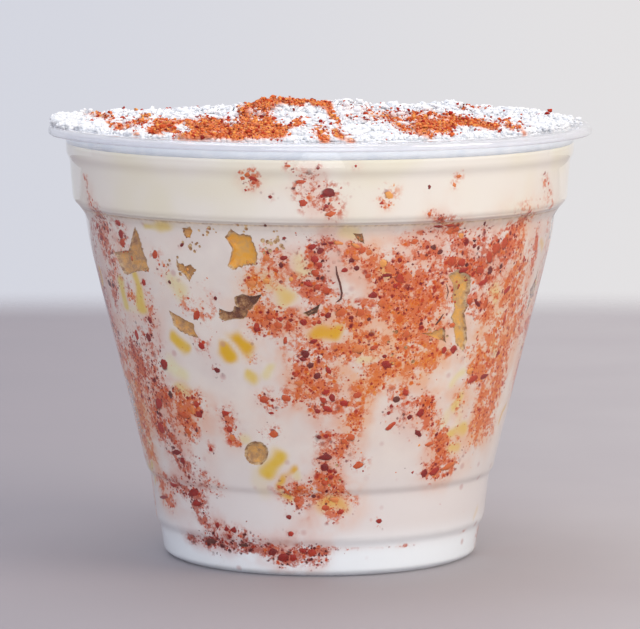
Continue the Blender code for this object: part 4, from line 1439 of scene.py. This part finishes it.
def crumb_places(count, subdivisions, small, large, seed):
    """Crumbs over the heap, each sunk a little into it or resting on it."""
    draw = random.Random(seed)
    shapes = list(crumb_shapes(subdivisions))
    for x, y in over_heap(draw, count, HEAP_RADIUS - 0.2):
        size = draw.uniform(small, large) * MM
        shape = draw.choice(shapes)
        spot = Vector((x, y, heap_top(x, y) + draw.uniform(-0.45, 0.2) * size))
        yield shape, tumbled(draw, spot, size), draw.random()


EDGE_CRUMBS = 1500
RIM_CRUMBS, RIM_CRUMBS_RIGHT = 1100, 300  # all that spilled onto the rim, and how many of them at the right
LEFT_PILE, RIGHT_PILE = (-91, 8), (82, 17)  # where each pile is round the rim and its spread, in degrees
SHREDS = 520


def edge_crumb_places():
    """Crumbs packed along the heap's edge, just inside the rim."""
    draw = random.Random(66)
    shapes = list(crumb_shapes(2))
    for k in range(EDGE_CRUMBS):
        turn, size = math.tau * k / EDGE_CRUMBS, draw.uniform(0.4, 1.2) * MM
        radius = min(HEAP_RADIUS - draw.uniform(0.1, 2.4), RIM_INSIDE - 0.1 - size / MM / 2)
        x, y = radius * math.cos(turn) * MM, radius * math.sin(turn) * MM
        shape = draw.choice(shapes)
        spot = Vector((x, y, heap_top(x, y) + draw.uniform(-0.6, 0.15) * size))
        yield shape, tumbled(draw, spot, size), draw.random()


def rim_crumb_places():
    """Crumbs that spilled onto the rim, piled up at its left and right."""
    draw = random.Random(77)
    shapes = list(crumb_shapes(1)) + list(crumb_shapes(2))
    for k in range(RIM_CRUMBS):
        left = k > RIM_CRUMBS_RIGHT
        angle = math.radians(draw.gauss(*LEFT_PILE) if left else draw.gauss(*RIGHT_PILE))
        radius = HEAP_RADIUS + (draw.uniform(-0.6, 2.9) if left else abs(draw.gauss(0, 1.0)) - 1.2)
        if radius > RIM_INSIDE + 2.3:
            continue
        size = draw.uniform(0.5, 1.5) * MM if left else draw.uniform(0.3, 0.8) * MM
        pile = draw.uniform(0, 0.2 + 0.25 * (radius - HEAP_RADIUS) if left else 0.8) * MM
        x, y = radius * math.sin(angle) * MM, -radius * math.cos(angle) * MM
        spot = Vector((x, y, RIM_TOP * MM + 0.12 * size + pile))
        yield draw.choice(shapes), tumbled(draw, spot, size), draw.random()


def shred_places():
    """Short bent shreds of cheese lying every way on the heap."""
    draw = random.Random(52)
    for x, y in over_heap(draw, SHREDS, HEAP_RADIUS - 2):
        length, turn = draw.uniform(1.6, 4.4) * MM, draw.uniform(0, math.tau)
        bend = draw.uniform(-0.35, 0.35)
        rise, line = draw.uniform(-0.5, 0.6), []
        for k in range(5):
            along = (k / 4 - 0.5) * length
            side = bend * length * (k / 4 - 0.5) ** 2 * 4
            spot_x = x + along * math.cos(turn) - side * math.sin(turn)
            spot_y = y + along * math.sin(turn) + side * math.cos(turn)
            height = heap_top(spot_x, spot_y) + 0.15 * MM + rise * along * 0.5
            line.append(Vector((spot_x, spot_y, height)))
        if max(spot.xy.length for spot in line) < (HEAP_RADIUS - 0.6) * MM:
            yield strand(line, draw.uniform(0.2, 0.4) * MM), Matrix(), draw.random()


def cheese_finish():
    """Dry white cheese, dusted orange where the chile lies."""
    made, tree, shader = new_finish("grated_cheese")
    chile = kept(tree, "chile")
    uneven = between(tree, mottle(tree, 500, 3.0), 0.3, 0.7)
    white = blend(tree, uneven, colour(229, 233, 239), colour(242, 244, 247))
    dust = weighed(tree, (chile, 0.7), (mottle(tree, 1100, 3.0, 0.65), 0.45))
    blushed = blend(tree, between(tree, chile, 0.02, 0.5, 0.0, 0.45), white, colour(232, 176, 158))
    stained = blend(tree, between(tree, dust, 0.42, 0.72, 0.0, 0.9), blushed, colour(218, 118, 62))
    tree.links.new(stained, shader.inputs["Base Color"])
    roughness(tree, shader, mottle(tree, 700), 0.7, 0.9)
    shader.inputs["Specular IOR Level"].default_value = 0.3
    shader.inputs["Subsurface Weight"].default_value = 0.35
    shader.inputs["Subsurface Radius"].default_value = (1.0, 0.95, 0.9)
    shader.inputs["Subsurface Scale"].default_value = 0.9 * MM
    relief(tree, shader, mottle(tree, 1600, 3.0, 0.6), 0.08 * MM)
    return made


cheese = cheese_finish()
heap = piece("cheese_heap", heap_mesh(), cheese)
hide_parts("grated_cheese")
cheese_pieces = [heap]
for name, places in (
    ("cheese_lumps", crumb_places(count=1500, subdivisions=2, small=0.8, large=1.6, seed=61)),
    ("cheese_crumbs", crumb_places(count=8000, subdivisions=1, small=0.3, large=0.9, seed=62)),
    ("rim_crumbs", rim_crumb_places()),
    ("edge_crumbs", edge_crumb_places()),
    ("cheese_shreds", shred_places()),
):
    mesh = scattered(name, places)
    paint(mesh, "chile", sprinkle_at(points_of(mesh)))
    made = piece(name, mesh, cheese)
    cheese_pieces.append(made)

# ---------------------------------------------------------------------------------------------------------
# The ground chile on the cheese: orange-red powder and broken flakes of dried skin, shaken on dry in
# patches, so that each bit lies on the crumb that it fell on.
# ---------------------------------------------------------------------------------------------------------
DROPPED_FROM = 0.09  # metres, well over the heap
BRIGHT = 0.86  # the share of the grains that are bright


def cheese_surface():
    """All the cheese as one surface, to drop the chile on."""
    bm = bmesh.new()
    for part in cheese_pieces:
        bm.from_mesh(part.data)
    tree = BVHTree.FromBMesh(bm)
    bm.free()
    return tree


def topping_places(count, shapes, small, large, floor, seed):
    """Grains or flakes dropped on the cheese, thickest in the sprinkled patches."""
    draw = random.Random(seed)
    hits = []
    for x, y in over_heap(draw, count, HEAP_RADIUS - 0.4):
        hit, _, _, _ = surface.ray_cast(Vector((x, y, DROPPED_FROM)), Vector((0, 0, -1)))
        if hit:
            hits.append(hit)
    for hit, share in zip(hits, sprinkle_at(np.array(hits))):
        if draw.random() > share**1.3 * 0.95 + floor:
            continue
        size = draw.uniform(small, large) * MM
        bright = draw.random() < BRIGHT
        tone = min(max(draw.gauss(0.68, 0.19), 0), 1) if bright else draw.uniform(0.05, 0.45)
        if share < 0.3:
            tone *= 0.6
        yield draw.choice(shapes), tumbled(draw, hit + Vector((0, 0, 0.12 * size)), size), tone


surface = cheese_surface()
dry_chile = chile_finish("dry_chile", 0.75)
grains_of_powder = list(grain_shapes())
powder = topping_places(count=90000, shapes=grains_of_powder, small=0.2, large=0.55, floor=0.003, seed=81)
top_powder = piece("chile_powder", scattered("chile_powder", powder), dry_chile)
thin_flakes = [(points * np.array((1, 0.8, 0.5)), sides) for points, sides in flake_shapes()]
broken = topping_places(count=5200, shapes=thin_flakes, small=0.5, large=1.2, floor=0.008, seed=82)
top_flakes = piece("dry_chile_flakes", scattered("dry_chile_flakes", broken), dry_chile)

# ---------------------------------------------------------------------------------------------------------
# The plain pale table top, painted lighter towards the right as painted light, and surroundings, soft light
# that is stronger and warmer from the right, and the camera, which looks down a little from the front.
# ---------------------------------------------------------------------------------------------------------
TABLE_BACK, TABLE_FADE = 0.40, 0.07  # how far the table reaches behind the cup, and where it fades away
LIT_PLACE = Vector((0, 0, 0.04))  # what the lights point at


def table_finish():
    """Pale matt table top, painted darker on the left and lighter on the right as painted light, that fades
    into the surroundings at its far edge.
    """
    made, tree, shader = new_finish("pale_table")
    parts = node(tree, "SeparateXYZ", {"Vector": place_of(tree)})
    # Painted light: the top darker on the left and lighter on the right, where the light is stronger.
    across = between(tree, parts.outputs["X"], -0.09, 0.09)
    top = blend(tree, across, colour(148, 143, 150), colour(176, 171, 173))
    faint = blend(tree, between(tree, mottle(tree, 25, 3.0), 0.3, 0.7, 0.0, 0.25), top, colour(158, 150, 156))
    tree.links.new(faint, shader.inputs["Base Color"])
    shader.inputs["Roughness"].default_value = 0.7
    far = maths(tree, "MAXIMUM", parts.outputs["Y"], maths(tree, "MULTIPLY", parts.outputs["Y"], -1.0))
    tree.links.new(between(tree, far, TABLE_BACK - TABLE_FADE, TABLE_BACK, 1.0, 0.0), shader.inputs["Alpha"])
    return made


def table_mesh():
    """The table top, level under the cup's foot."""
    bm = bmesh.new()
    bmesh.ops.create_grid(bm, x_segments=1, y_segments=1, size=0.5)
    bmesh.ops.scale(bm, vec=(3.0, 2 * TABLE_BACK, 1.0), verts=bm.verts)
    mesh = bpy.data.meshes.new("table")
    bm.to_mesh(mesh)
    bm.free()
    mesh.materials.append(table_finish())
    return mesh


table = bpy.data.objects.new("table", table_mesh())
bpy.context.scene.collection.objects.link(table)


def surroundings():
    """A plain bright room: cooler on the left, warmer on the right."""
    world = bpy.data.worlds.new("room")
    bpy.context.scene.world = world
    world.use_nodes = True
    tree = world.node_tree
    toward = node(tree, "SeparateXYZ", {"Vector": node(tree, "TexCoord").outputs["Generated"]})
    across = between(tree, toward.outputs["X"], -0.09, 0.09)
    seen = ramp(tree, across, (0.0, colour(217, 219, 229)), (1.0, colour(233, 231, 232)))
    tree.links.new(seen, tree.nodes["Background"].inputs["Color"])
    tree.nodes["Background"].inputs["Strength"].default_value = 0.95


def soft_light(name, place, size, watts, tint):
    """A large round soft light that points at the cup."""
    lamp = bpy.data.lights.new(name, "AREA")
    lamp.shape = "DISK"
    lamp.size = size
    lamp.energy = watts
    lamp.color = colour(*tint)[:3]
    made = bpy.data.objects.new(name, lamp)
    made.location = place
    made.rotation_euler = (LIT_PLACE - Vector(place)).to_track_quat("-Z", "Y").to_euler()
    bpy.context.scene.collection.objects.link(made)


surroundings()
soft_light("window", (1.1, -0.5, 1.0), 0.9, 9.0, (255, 240, 222))
soft_light("ceiling", (-0.2, 0.3, 1.5), 1.2, 7.0, (250, 250, 255))
soft_light("front", (0.0, -1.3, 0.4), 1.2, 7.0, (252, 252, 252))

camera = bpy.data.cameras.new("camera")
camera.sensor_width = 36.0
camera.lens = FOCAL_PIXELS * camera.sensor_width / PICTURE[0]
camera.clip_start = 0.01
viewpoint = bpy.data.objects.new("camera", camera)
viewpoint.location = CAMERA_PLACE
viewpoint.rotation_euler = (math.pi / 2 - CAMERA_DIP, 0, 0)
bpy.context.scene.collection.objects.link(viewpoint)
bpy.context.scene.camera = viewpoint
bpy.context.scene.view_settings.view_transform = "Standard"
